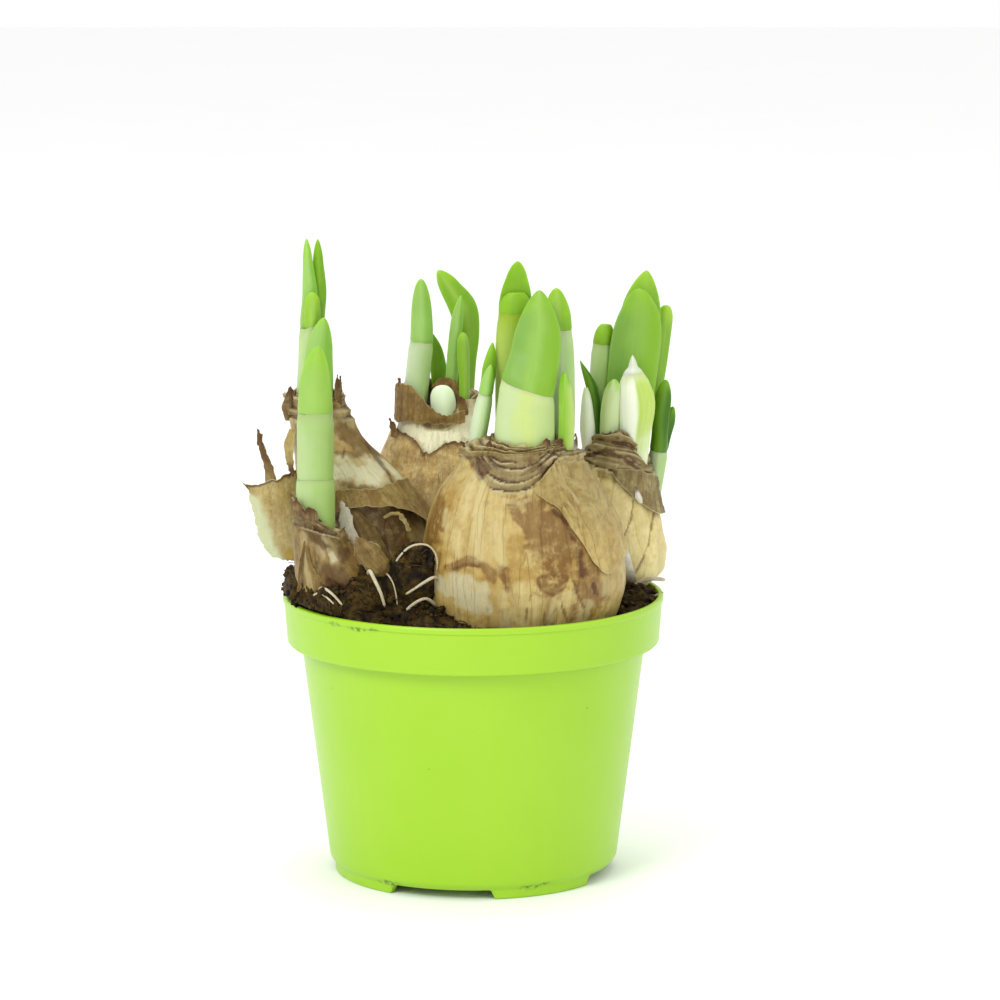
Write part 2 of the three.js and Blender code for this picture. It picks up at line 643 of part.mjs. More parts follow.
const leftLevels = [
  [83, -27, 4, 6, 6, 0], [87, -27.6, 4.2, 11.6, 11, 0], [94, -29, 4.6, 15.6, 14, 0],
  [102, -31, 5, 17.8, 15.8, 0], [110, -33.2, 5, 18.4, 16.2, 0], [118, -35.6, 5, 18.4, 16, -0.04],
  [126, -38.8, 5.2, 17, 14.8, -0.1], [133, -42.6, 5.4, 14.4, 12.6, -0.16],
  [140, -46.6, 5.2, 11, 10.8, -0.14], [149.5, -49.4, 5, 9.2, 9.6, -0.06],
];
const smallLevels = [
  [80, -37, -23, 5, 5, 0], [84, -37.6, -23.6, 9.4, 8.6, 0], [90, -38.6, -24.4, 12.6, 11, 0],
  [97, -40, -24.8, 14.6, 12.2, -0.08], [104, -42.2, -24.6, 13, 11, -0.3],
  [110, -44.8, -24.2, 10.6, 9, -0.56], [115.5, -46.6, -24, 8.8, 7.8, -0.72],
];
const hollowSides = 12;
const bulbs = {
  front: {
    levels: frontLevels, count: 4, spread: 13, depth: 46,
    hollow: [[127.6, 19, -21, 13, 9.4, 0], [141, 19.2, -21.2, 13.7, 10.4, 0]],
  },
  right: {
    levels: rightLevels, count: 3, spread: 9, depth: 58,
    hollow: [[125.6, 45.6, 18.2, 9.5, 9.3, 0], [137, 45.4, 18.2, 9.6, 9.5, 0]],
    surface: [
      { path: [[44, 8, 84.6], [50, 1.4, 90], [55.6, 0.6, 91], [60.4, 3.4, 91]], radius: 1.3 },
      { path: [[44, 9, 84], [50, 3.6, 86.6], [53.4, 0, 87], [54.4, -3, 86]], radius: 1.2 },
    ],
  },
  back: {
    levels: backLevels, count: 3, spread: 12, depth: 54,
    hollow: [[137.6, -11, 34, 11.2, 9.2, 0], [149.5, -11, 34, 11.3, 9.4, 0]],
  },
  left: {
    levels: leftLevels, count: 3, spread: 9, depth: 56,
    hollow: [[136.6, -49.2, 4.6, 6.4, 7.2, 0], [151, -49.6, 4.9, 7.6, 8, 0]],
  },
  small: {
    levels: smallLevels, count: 3, spread: 8, depth: 50,
    hollow: [
      [100.6, -47.4, -23.8, 5, 4.4, 0], [108, -48, -24, 6.2, 5.3, 0], [123, -48.5, -24, 7.4, 6.4, 0],
    ],
    surface: [
      { path: [[-34, -28, 81], [-30.6, -34, 92], [-27.4, -37.4, 92.6], [-25.6, -40, 89.4]], radius: 1.1 },
      { path: [[-40, -28, 81], [-43.6, -36, 91], [-42, -38.6, 91.6], [-39, -41, 89.6]], radius: 1 },
    ],
  },
};
for (const [side, shape] of Object.entries(bulbs)) {
  const whole = (grow) => bulb(shape.levels, grow);
  const cupped = (grow) => whole(grow).subtract(bulb(shape.hollow, 0, hollowSides));
  place(`bulb_${side}`, tunic, cupped, { full: whole });
}
for (const [side, shape] of Object.entries(bulbs)) {
  place(`roots_${side}`, rootWhite, (grow) => rootBall(shape, grow));
}

// Loose outer skins
place('skin_front_shoulder', paper, (grow) => patch({
  on: frontLevels, from: 32, to: 128,
  lower: [116, 107, 99, 95, 96, 100, 106, 112], upper: [134, 134, 133, 133, 132, 132, 130, 126],
  lift: [0.75, 0.8, 0.9, 1, 1.1],
}, grow));
place('skin_right_flap', paper, (grow) => patch({
  on: rightLevels, from: 38, to: 84,
  lower: [116, 112, 109, 110], upper: [121, 122, 122, 121], lift: [2.4, 1.9, 1.4, 1, 0.8],
}, grow));
place('skin_back_neck', paper, (grow) => patch({
  on: backLevels, from: -150, to: 16,
  lower: [138, 139, 139, 138, 139, 140, 141, 141], upper: [145, 147, 146, 148, 149, 147, 145, 142.5],
  lift: [0.8, 0.9, 1.1, 1.2, 1],
}, grow));
place('skin_back_body', paper, (grow) => patch({
  on: backLevels, from: -100, to: 60,
  lower: [112, 108, 106, 105, 106, 108, 110, 112], upper: [137, 138, 136.5, 135, 130.4, 134, 133.5, 134],
  lift: [0.75, 0.75, 0.85, 0.95, 1.2],
}, grow));
place('skin_left_lower', paper, (grow) => patch({
  on: leftLevels, from: -24, to: 92,
  lower: [111, 112, 112, 110.5, 108, 107, 107, 109], upper: [122, 123, 123, 124, 126, 128, 129, 128],
  lift: [3.2, 2.2, 1.5, 1, 0.85],
}, grow));

// The left bulb's outer skin hangs open: its right edge still lies on the bulb
const leftFlapRows = [
  [[-46.8, -1.7, 99.6], [-52.6, -7, 99.6], [-58.6, -7.2, 99.8], [-63, -5.4, 100.2]],
  [[-49.4, -1.8, 106], [-55, -6.8, 105.6], [-61.6, -6.4, 105.4], [-67.4, -3, 105.8]],
  [[-51.8, -1.9, 113.6], [-57.2, -6, 112.6], [-63.6, -5.4, 112], [-69, -2, 112.2]],
  [[-54, -1.6, 121.6], [-59.4, -5.2, 119.6], [-65.6, -4.2, 118.6], [-70.6, -0.8, 118.8]],
  [[-55.7, -1, 128.4], [-60.8, -4.2, 126.4], [-66.8, -2.6, 123.6], [-72, 0, 123.8]],
];
const leftFlapCurl = {
  stations: [[-63.4, -3.8, 122, 2.4], [-64.6, -3, 129, 1.7], [-66.6, -1.4, 135, 1.1],
    [-67.7, -0.4, 140.8, 0.8]],
  thick: 0.9, cup: 0.3, facing: -30, tip: [3, 0.5],
};
place('skin_left_flap', paper, (grow) => {
  const grid = leftFlapRows.map((row) => row.map(([x, y, z]) => new THREE.Vector3(x, y, z)));
  return sheet(grid, 0.8, grow).add(blade(leftFlapCurl, grow));
});
placeBlade('skin_small_scale', paper, {
  stations: [[-30.6, -14.4, 95, 5.6], [-31.6, -13.4, 103, 5.6], [-35, -12.6, 111, 4.4],
    [-39.4, -12, 119.4, 2.2]],
  thick: 0.85, cup: 0.22, facing: 25, tip: [12, 0.8],
});
placeBlade('skin_small_flap', scaleWhite, {
  stations: [[-34.4, -18.6, 103, 1.8], [-37.2, -18.2, 108, 2.2], [-39.2, -17.6, 114, 2.2],
    [-40.6, -17, 120.8, 1.6]],
  thick: 0.85, cup: 0.2, facing: 10, tip: [8, 0.7],
});

// Pot: turned profile, from the middle of the underside out, up, over the rim and back inside
const floorTop = footHeight + wall;
const potProfile = [
  [0, 0], [padRadius, 0], [padRadius + 2, footHeight], [footRadius - footWidth - 0.4, footHeight],
  [footRadius - footWidth, 0], [footRadius, 0], [footRadius + 0.2, footHeight],
  [bodyFootRadius + 0.3, footHeight + 1.6], [bodyTopRadius, collarFootHeight - 0.3],
  [collarFootRadius - 0.5, collarFootHeight], [rimRadius - lipStep, potHeight - lipHeight - 0.3],
  [rimRadius, potHeight - lipHeight], [rimRadius, potHeight], [rimRadius - wall - 0.6, potHeight],
  [collarFootRadius - wall - 0.3, collarFootHeight + 1.4], [bodyTopRadius - wall, collarFootHeight + 0.6],
  [bodyFootRadius - wall - 0.6, floorTop], [padRadius + 1.4, floorTop], [padRadius - 0.6, wall], [0, wall],
].map(([radius, height]) => new THREE.Vector2(radius, height));
const turned = new THREE.LatheGeometry(potProfile, potSegments).rotateX(Math.PI / 2);
let potBody = fromGeometry(turned);
for (let i = 0; i < notchCount; i += 1) {
  const middle = (firstNotchAngle + (360 / notchCount) * i - 90) * degrees;
  const half = (notchAngle / 2) * degrees;
  const outline = new THREE.Shape();
  outline.absarc(0, 0, footRadius + 0.19, middle - half, middle + half, false);
  outline.absarc(0, 0, footRadius - footWidth - 3, middle + half, middle - half, true);
  const cut = { depth: footHeight + 1, bevelEnabled: false, curveSegments: 5 };
  const notch = new THREE.ExtrudeGeometry(outline, cut);
  potBody = potBody.subtract(fromGeometry(notch.translate(0, 0, -1)));
}
for (let i = 0; i < drainHoleCount; i += 1) {
  const turn = ((i + 0.5) * 2 * Math.PI) / drainHoleCount;
  const hole = new THREE.CylinderGeometry(drainHoleRadius, drainHoleRadius, 8, 8).rotateX(Math.PI / 2);
  hole.translate(Math.cos(turn) * drainCircleRadius, Math.sin(turn) * drainCircleRadius, footHeight);
  potBody = potBody.subtract(fromGeometry(hole));
}
addMesh('pot', potBody, lime);

// Soil: fills the pot up to an uneven surface, heaped at the left edge and between two bulbs
function soilHeight(x, y) {
  const heap = (atX, atY, rise, wideX, wideY) => rise
    * Math.exp(-(((x - atX) / wideX) ** 2) - (((y - atY) / wideY) ** 2));
  const crumble = 0.5 * Math.sin(0.9 * x + 0.4 * y) + 0.4 * Math.sin(0.7 * y - 0.5 * x);
  return soilLevel + crumble + heap(-53.5, -9, 12, 5.5, 13) + heap(-19, -13, 21, 8.5, 9)
    + heap(-30, -34, 5.5, 16, 8) + heap(44, 6, 1.4, 14, 14);
}
const soilWalls = [
  [padRadius - 1, soilFloor], [bodyFootRadius - wall - 2.2, soilFloor],
  [bodyFootRadius - wall - gap - 0.3, soilFloor + 2.6],
  [bodyTopRadius - wall - gap - 0.2, collarFootHeight + 1],
  [collarFootRadius - wall - gap - 0.6, collarFootHeight + 2.2],
];
const soilTopRadii = [rimRadius - wall - gap - 1.3, 54.5, 48, 39, 28, 15];
const soilRing = (radius, heightOf) => {
  const ring = [];
  for (let k = 0; k < potSegments; k += 1) {
    const turn = (2 * Math.PI * k) / potSegments;
    const [x, y] = [Math.cos(turn) * radius, Math.sin(turn) * radius];
    ring.push(new THREE.Vector3(x, y, heightOf(x, y)));
  }
  return ring;
};
place('soil', peat, () => loft([
  ...soilWalls.map(([radius, height]) => soilRing(radius, () => height)),
  ...soilTopRadii.map((radius) => soilRing(radius, soilHeight)),
]));

export default flowerbulbs;
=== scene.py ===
import math

import bpy
import numpy as np
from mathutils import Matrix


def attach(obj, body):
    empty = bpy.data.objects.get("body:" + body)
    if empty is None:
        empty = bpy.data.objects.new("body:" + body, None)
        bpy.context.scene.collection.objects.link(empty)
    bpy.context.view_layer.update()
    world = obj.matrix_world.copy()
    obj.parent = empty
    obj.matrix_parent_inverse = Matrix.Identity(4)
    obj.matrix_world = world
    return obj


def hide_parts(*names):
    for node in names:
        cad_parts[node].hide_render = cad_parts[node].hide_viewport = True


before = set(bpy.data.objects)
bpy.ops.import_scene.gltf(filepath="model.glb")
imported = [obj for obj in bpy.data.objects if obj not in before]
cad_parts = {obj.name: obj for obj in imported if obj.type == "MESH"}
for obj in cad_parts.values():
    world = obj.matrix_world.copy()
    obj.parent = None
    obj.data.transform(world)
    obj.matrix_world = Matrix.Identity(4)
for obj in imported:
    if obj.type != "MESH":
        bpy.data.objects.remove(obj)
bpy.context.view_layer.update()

# Five sprouting daffodil bulbs in a lime-green nursery pot. Shapes are written in millimetres
# and become metres when a mesh is made. +Z is up and the front faces -Y.
mm = 0.001
draw = np.random.default_rng(26)
print("frame loaded:", len(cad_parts), "solids")


# Small maths
def unit(vectors):
    return vectors / np.maximum(np.linalg.norm(vectors, axis=-1, keepdims=True), 1e-9)


def ease(low, high, values):  # 0 below low, 1 above high, smooth between them
    part = np.clip((np.asarray(values, float) - low) / (high - low), 0, 1)
    return part * part * (3 - 2 * part)


def softNoise(points, size, seed=0):  # smooth noise from -1 to 1, its lumps about this size
    scaled = np.asarray(points, float) / size
    base = np.floor(scaled).astype(np.int64)
    part = scaled - base
    part = part * part * (3 - 2 * part)
    total = np.zeros(scaled.shape[:-1])
    for corner in np.ndindex(2, 2, 2):
        mixed = ((base + corner) * (374761393, 668265263, 951274213)).sum(-1) + seed * 974634777
        mixed = (mixed ^ (mixed >> 13)) * 1274126177
        mixed = mixed ^ (mixed >> 16)
        weight = np.where(np.array(corner, bool), part, 1 - part).prod(-1)
        total += weight * ((mixed & 0xFFFF) / 32767.5 - 1)
    return total


def layeredNoise(points, size, seed=0, layers=3):
    total = 0
    for layer in range(layers):
        total = total + softNoise(points, size / 2 ** layer, seed + layer) / 2 ** layer
    return total / 1.5


def xyz(x, y, z):  # points from three arrays or numbers that stretch to one shape
    return np.stack(np.broadcast_arrays(x, y, z), -1)


def ringAt(turn, radius, height):
    return xyz(np.cos(turn) * radius, np.sin(turn) * radius, height)


def turnsOf(sides):  # angles round a section, in radians
    return (np.arange(sides) + 0.5) * 2 * math.pi / sides


def lineNoise(values, size, seed=0):  # noise along one direction
    return layeredNoise(xyz(values, 0.37, 0.61), size, seed)


def smoothAlong(values, t):  # a smooth curve through evenly spaced values, at places from 0 to 1
    values = np.asarray(values, float)
    if len(values) == 2:
        return values[0] + (values[1] - values[0]) * np.clip(t, 0, 1)
    steps = np.diff(values)
    slopes = np.zeros(len(values))
    same = steps[:-1] * steps[1:] > 0
    slopes[1:-1] = np.where(same, 2 * steps[:-1] * steps[1:] / np.where(same, steps[:-1] + steps[1:], 1), 0)
    slopes[0], slopes[-1] = steps[0], steps[-1]
    place = np.clip(t, 0, 1) * (len(values) - 1)
    low = np.minimum(place.astype(int), len(values) - 2)
    s = place - low
    first = values[low] * (1 + 2 * s) * (1 - s) ** 2 + slopes[low] * s * (1 - s) ** 2
    return first + values[low + 1] * s * s * (3 - 2 * s) + slopes[low + 1] * s * s * (s - 1)


def curvePoints(knots, t):  # a centripetal curve through the knots, as the solids' spines are
    knots = np.asarray(knots, float)
    place = np.clip(t, 0, 1) * (len(knots) - 1)
    low = np.minimum(place.astype(int), len(knots) - 2)
    padded = np.vstack([2 * knots[0] - knots[1], knots, 2 * knots[-1] - knots[-2]])
    p0, p1, p2, p3 = (padded[low + k] for k in range(4))
    s = (place - low)[:, None]
    pairs = ((p0, p1), (p1, p2), (p2, p3))
    d0, d1, d2 = (np.sqrt(np.linalg.norm(b - a, axis=1))[:, None] for a, b in pairs)
    m1 = ((p1 - p0) / d0 - (p2 - p0) / (d0 + d1) + (p2 - p1) / d1) * d1
    m2 = ((p2 - p1) / d1 - (p3 - p1) / (d1 + d2) + (p3 - p2) / d2) * d1
    return p1 + m1 * s + (3 * (p2 - p1) - 2 * m1 - m2) * s ** 2 + (2 * (p1 - p2) + m1 + m2) * s ** 3


def spineOf(stations, facing=0):  # its length, and its frame at any shares of that length
    knots = [station[:3] for station in stations]
    steps = np.linspace(0, 1, 401)
    line = curvePoints(knots, steps)
    lengths = np.concatenate([[0], np.cumsum(np.linalg.norm(np.diff(line, axis=0), axis=1))])
    look = np.array([math.sin(math.radians(facing)), -math.cos(math.radians(facing)), 0])

    def at(shares):
        t = np.interp(np.asarray(shares, float) * lengths[-1], lengths, steps)
        direction = unit(curvePoints(knots, t + 1e-3) - curvePoints(knots, t - 1e-3))
        normal = unit(look - direction * (direction @ look)[:, None])
        return t, curvePoints(knots, t), direction, normal, np.cross(direction, normal)

    return lengths[-1], at


stageLight = 1.4  # how bright the stage makes a white surface
gloss = 0.035  # the white light that a surface reflects on top of its own colour


def colour(red, green, blue):  # from a colour as seen on the stage to the one that shaders use
    values = np.array([red, green, blue]) / 255
    linear = np.where(values <= 0.04045, values / 12.92, ((values + 0.055) / 1.055) ** 2.4)
    return (*np.maximum((linear - gloss) / stageLight, 0.15 * linear).tolist(), 1.0)


# Meshes. A part is its points, its faces and the values that its material reads at each point.
def loftPart(rings, values=None):
    rows, size = rings.shape[:2]
    grid = np.arange(rows * size).reshape(rows, size)
    across = np.roll(grid, -1, axis=1)
    quads = np.stack([grid[:-1], across[:-1], across[1:], grid[1:]], -1).reshape(-1, 4)
    half = np.arange(size // 2 - 1)
    cap = np.stack([half, size - 1 - half, size - 2 - half, half + 1], -1)
    faces = np.vstack([quads, cap, cap[:, ::-1] + (rows - 1) * size])
    points = rings.reshape(-1, 3)
    corners = points[faces] - points.mean(0)
    volume = 0
    for second, third in ((1, 2), (2, 3)):
        crossed = np.cross(corners[:, second], corners[:, third])
        volume += np.einsum("ij,ij->", corners[:, 0], crossed)
    if volume < 0:
        faces = faces[:, ::-1]
    kept = {}
    for key, value in (values or {}).items():
        value = np.asarray(value, float)
        shape = rings.shape if value.ndim == 3 else rings.shape[:2]
        kept[key] = np.broadcast_to(value, shape).reshape(-1, *shape[2:])
    return points, faces, kept


def joinParts(parts):
    points, faces, start = [], [], 0
    for part in parts:
        points.append(part[0])
        faces.append(part[1] + start)
        start += len(part[0])
    values = {key: np.concatenate([part[2][key] for part in parts]) for key in parts[0][2]}
    return np.vstack(points), np.vstack(faces), values


def makePiece(name, part, material, slotName, *nodes):
    points, faces, values = part
    mesh = bpy.data.meshes.new(name)
    mesh.vertices.add(len(points))
    mesh.vertices.foreach_set("co", (points * mm).astype(np.float32).ravel())
    corners = faces.shape[1]
    mesh.loops.add(len(faces) * corners)
    mesh.loops.foreach_set("vertex_index", faces.astype(np.int32).ravel())
    mesh.polygons.add(len(faces))
    mesh.polygons.foreach_set("loop_start", np.arange(len(faces), dtype=np.int32) * corners)
    mesh.polygons.foreach_set("use_smooth", np.ones(len(faces), bool))
    mesh.update(calc_edges=True)
    for key, value in values.items():
        kind = "FLOAT_VECTOR" if value.ndim == 2 else "FLOAT"
        attribute = mesh.attributes.new(key, kind, "POINT")
        field = "vector" if value.ndim == 2 else "value"
        attribute.data.foreach_set(field, value.astype(np.float32).ravel())
    piece = bpy.data.objects.new(name, mesh)
    bpy.context.scene.collection.objects.link(piece)
    piece.data.materials.append(material)
    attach(piece, "root")
    if nodes:
        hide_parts(*nodes)
    return piece


def normalsOf(grid):
    return unit(np.cross(np.gradient(grid, axis=1), np.gradient(grid, axis=0)))


def fromEdge(grid):  # how many steps each place of a grid is from its nearest edge
    down, across = np.indices(grid.shape[:2])
    return np.minimum(np.minimum(down, down[::-1]), np.minimum(across, across[:, ::-1]))


def sheetPart(grid, thick, values):  # a thin skin over a grid of points, thinner along its edges
    half = normalsOf(grid) * thick / 2 * (0.35 + 0.65 * ease(0, 4, fromEdge(grid)))[..., None]
    rings = np.concatenate([grid + half, (grid - half)[:, ::-1]], axis=1)
    values = {key: np.concatenate([value, value[:, ::-1]], axis=1) for key, value in values.items()}
    return loftPart(rings, values)


# Materials: small helpers, then the effects that several of them share
def fillSockets(tree, made, values):
    for key, value in values.items():
        if isinstance(value, bpy.types.NodeSocket):
            tree.links.new(value, made.inputs[key])
        else:
            made.inputs[key].default_value = value


def addNode(tree, kind, values=None, **settings):
    made = tree.nodes.new(kind)
    for key, value in settings.items():
        setattr(made, key, value)
    fillSockets(tree, made, values or {})
    return made


def blend(tree, factor, first, second):  # first where factor is 0 and second where it is 1
    made = addNode(tree, "ShaderNodeMix", {0: factor, 6: first, 7: second}, data_type="RGBA")
    return made.outputs[2]


def maths(tree, operation, first, second=0.5, third=0.5):
    made = addNode(tree, "ShaderNodeMath", {0: first, 1: second, 2: third}, operation=operation)
    return made.outputs[0]


def window(tree, value, low, high):  # 0 below low, 1 above high, smooth between them
    values = {"Value": value, "From Min": low, "From Max": high}
    made = addNode(tree, "ShaderNodeMapRange", values, interpolation_type="SMOOTHSTEP")
    return made.outputs[0]


def noiseIn(tree, place, scale, detail=3.0, roughness=0.55):
    values = {"Vector": place, "Scale": scale, "Detail": detail, "Roughness": roughness}
    return addNode(tree, "ShaderNodeTexNoise", values).outputs[0]


def readValue(tree, key):  # a value that the mesh holds at each point
    return addNode(tree, "ShaderNodeAttribute", attribute_name=key).outputs["Fac"]


# Lays colours over a base. A layer is a mask, its strength and the name of its colour.
def layered(tree, shades, base, *layers):
    for mask, strength, shade in layers:
        base = blend(tree, maths(tree, "MULTIPLY", mask, strength), base, shades[shade])
    return base


def newGroup(name, inputs, outputs):
    group = bpy.data.node_groups.new(name, "ShaderNodeTree")
    for label, kind, value in inputs:
        socket = group.interface.new_socket(name=label, in_out="INPUT", socket_type=kind)
        if value is not None:
            socket.default_value = value
    for label in outputs:
        group.interface.new_socket(name=label, in_out="OUTPUT", socket_type="NodeSocketFloat")
    return group, group.nodes.new("NodeGroupInput"), group.nodes.new("NodeGroupOutput")


# Plant fibres: soft bands, fine lines and long creases along the grain of a leaf, root or skin
def makeFibres():
    inputs = [("Grain", "NodeSocketVector", None), ("Density", "NodeSocketFloat", 1.0)]
    group, given, result = newGroup("plantFibres", inputs, ["Bands", "Lines", "Creases", "Height"])
    grain, density = given.outputs["Grain"], given.outputs["Density"]
    broad = noiseIn(group, grain, maths(group, "MULTIPLY", density, 0.35), 3.0)
    lines = noiseIn(group, grain, maths(group, "MULTIPLY", density, 2.2), 4.0, 0.7)
    bend = noiseIn(group, grain, maths(group, "MULTIPLY", density, 0.5), 2.0, 0.4)
    away = maths(group, "ABSOLUTE", maths(group, "SUBTRACT", bend, 0.5))
    fillSockets(group, result, {
        "Bands": window(group, broad, 0.34, 0.66),
        "Lines": window(group, lines, 0.52, 0.68),
        "Creases": maths(group, "SUBTRACT", 1.0, window(group, away, 0.002, 0.014)),
        "Height": maths(group, "MULTIPLY_ADD", lines, 0.7, maths(group, "MULTIPLY", broad, 0.3))})
    return group


# Blotches: patches with ragged edges, sized in millimetres
def makeBlotches():
    inputs = [("Place", "NodeSocketVector", None), ("Size", "NodeSocketFloat", 8.0),
              ("Amount", "NodeSocketFloat", 0.5), ("Softness", "NodeSocketFloat", 0.08)]
    group, given, result = newGroup("blotches", inputs, ["Mask", "Height"])
    scale = maths(group, "DIVIDE", 1.0, given.outputs["Size"])
    value = noiseIn(group, given.outputs["Place"], scale, 6.0, 0.62)
    level = maths(group, "MULTIPLY_ADD", given.outputs["Amount"], -0.36, 0.68)
    low = maths(group, "SUBTRACT", level, given.outputs["Softness"])
    high = maths(group, "ADD", level, given.outputs["Softness"])
    fillSockets(group, result, {"Mask": window(group, value, low, high), "Height": value})
    return group


# Specks: scattered dots of soil, pores or spots
def makeSpecks():
    inputs = [("Place", "NodeSocketVector", None), ("Spacing", "NodeSocketFloat", 3.0),
              ("Size", "NodeSocketFloat", 0.2), ("Share", "NodeSocketFloat", 0.5)]
    group, given, result = newGroup("specks", inputs, ["Mask"])
    place = given.outputs["Place"]
    scale = maths(group, "DIVIDE", 1.0, given.outputs["Spacing"])
    cells = addNode(group, "ShaderNodeTexVoronoi", {"Vector": place, "Scale": scale, "Randomness": 1.0})
    warp = noiseIn(group, place, 1.6, 3.0)
    distance = maths(group, "MULTIPLY_ADD", warp, 0.22, cells.outputs["Distance"])
    edge = maths(group, "ADD", given.outputs["Size"], 0.11)
    low = maths(group, "SUBTRACT", edge, 0.03)
    dot = maths(group, "SUBTRACT", 1.0, window(group, distance, low, edge))
    chosen = addNode(group, "ShaderNodeSeparateColor", {0: cells.outputs["Color"]}).outputs[0]
    kept = maths(group, "LESS_THAN", chosen, given.outputs["Share"])
    fillSockets(group, result, {"Mask": maths(group, "MULTIPLY", dot, kept)})
    return group


fibres, blotches, specks = makeFibres(), makeBlotches(), makeSpecks()


def useGroup(tree, group, **values):
    made = addNode(tree, "ShaderNodeGroup", node_tree=group)
    fillSockets(tree, made, values)
    return made.outputs


def fibresIn(tree, density):
    grain = addNode(tree, "ShaderNodeAttribute", attribute_name="grain").outputs["Vector"]
    return useGroup(tree, fibres, Grain=grain, Density=density)


def blotchesIn(tree, place, size, amount, softness):
    return useGroup(tree, blotches, Place=place, Size=size, Amount=amount, Softness=softness)


def specksIn(tree, place, spacing, size, share):
    return useGroup(tree, specks, Place=place, Spacing=spacing, Size=size, Share=share)


def startMaterial(name):
    material = bpy.data.materials.new(name)
    material.use_nodes = True
    tree = material.node_tree
    tree.nodes.clear()
    place = addNode(tree, "ShaderNodeTexCoord").outputs["Object"]
    inMillimetres = addNode(tree, "ShaderNodeVectorMath", {0: place, 3: 1 / mm}, operation="SCALE")
    return material, tree, inMillimetres.outputs[0]


# Roughness is a number, or a value, how much of it counts and the roughness where it is 0.
# Flesh is how much light gets in, how far for red, green and blue, and its size in millimetres.
def finishMaterial(tree, baseColour, roughness, height, bump, specular=0.5, flesh=None):
    relief = addNode(tree, "ShaderNodeBump", {"Strength": 1.0, "Distance": bump * mm, "Height": height})
    if isinstance(roughness, tuple):
        roughness = maths(tree, "MULTIPLY_ADD", *roughness)
    values = {"Base Color": baseColour, "Roughness": roughness, "Normal": relief.outputs[0],
              "Specular IOR Level": specular}
    if flesh:
        values.update(zip(("Subsurface Weight", "Subsurface Radius"), flesh))
        values["Subsurface Scale"] = flesh[2] * mm
    shader = addNode(tree, "ShaderNodeBsdfPrincipled", values)
    addNode(tree, "ShaderNodeOutputMaterial", {"Surface": shader.outputs[0]})


def shadesOf(look):
    return {key: colour(*value) for key, value in look.items() if isinstance(value, tuple)}


print("helpers and shared node groups ready")


# Leaves. The colours of a look are its left, right, tip, foot and the streak up its middle.
# Seam is how softly left turns into right, and glow how strong the streak is. On most looks
# left and right are painted light and shade, the left half lighter and the right half darker as if
# lit from the left; on the yellow, pale, slim sheath and bud sheath looks the split is the leaf's
# own change of colour.
leafParts = ("left", "right", "tip", "foot", "streak", "seam", "glow")
leafLooks = {
    "main": ((144, 190, 92), (150, 200, 66), (160, 212, 64), (152, 204, 86), (174, 216, 112), 0.7, 0.5),
    "deep": ((146, 194, 54), (126, 178, 42), (160, 212, 54), (118, 168, 48), (152, 200, 72), 0.8, 0.5),
    "bright": ((158, 208, 72), (140, 192, 56), (178, 226, 66), (146, 192, 78), (184, 222, 108), 0.7, 0.5),
    "fresh": ((172, 216, 116), (146, 202, 82), (168, 220, 70), (164, 208, 104), (188, 226, 136), 0.6, 0.5),
    "dark": ((120, 164, 48), (88, 134, 30), (138, 190, 54), (150, 192, 88), (132, 176, 70), 0.6, 0.5),
    "yellow": ((158, 208, 76), (206, 232, 132), (140, 200, 58), (206, 228, 140), (200, 230, 120), 0.35, 0.5),
    # The pale, white, fleshy scale, bud sheath and slim sheath looks go past white: painted light, brighter
    # than their own colour to make up for the shade that neighbours cast on them.
    "pale": ((214, 244, 154), (240, 258, 200), (164, 220, 70), (250, 264, 222), (240, 258, 200), 0.6, 0.5),
    "white": ((262, 268, 252), (232, 246, 206), (236, 244, 220), (240, 250, 214), (262, 266, 254), 0.8, 0.5),
    "fleshyScale": ((266, 286, 244), (256, 280, 230), (276, 288, 258), (252, 268, 230),
                    (276, 290, 260), 0.8, 0.5),
    "sheath": ((216, 236, 180), (204, 230, 152), (222, 242, 172), (206, 224, 162), (226, 243, 142), 0.8, 0.5),
    "yellowSheath": ((188, 214, 104), (150, 190, 52), (168, 202, 66), (156, 190, 84),
                     (166, 202, 60), 0.6, 0.5),
    "greenSheath": ((206, 232, 164), (172, 210, 112), (190, 222, 138), (186, 214, 136),
                    (198, 228, 150), 0.7, 0.5),
    "budSheath": ((284, 300, 264), (212, 240, 122), (240, 256, 194), (256, 270, 230),
                  (284, 300, 264), 0.07, 0.0),
    "mintSheath": ((226, 243, 202), (186, 222, 140), (206, 234, 168), (198, 226, 154),
                   (212, 238, 176), 0.7, 0.5),
    "duskSheath": ((200, 224, 160), (176, 210, 118), (184, 216, 136), (196, 220, 150),
                   (182, 214, 132), 0.7, 0.5),
    "soft": ((172, 214, 110), (164, 208, 92), (166, 218, 66), (162, 204, 104), (184, 222, 120), 0.7, 0.5),
    "slimSheath": ((236, 254, 208), (262, 274, 244), (214, 244, 164), (276, 284, 262),
                   (270, 280, 252), 0.5, 0.5),
}


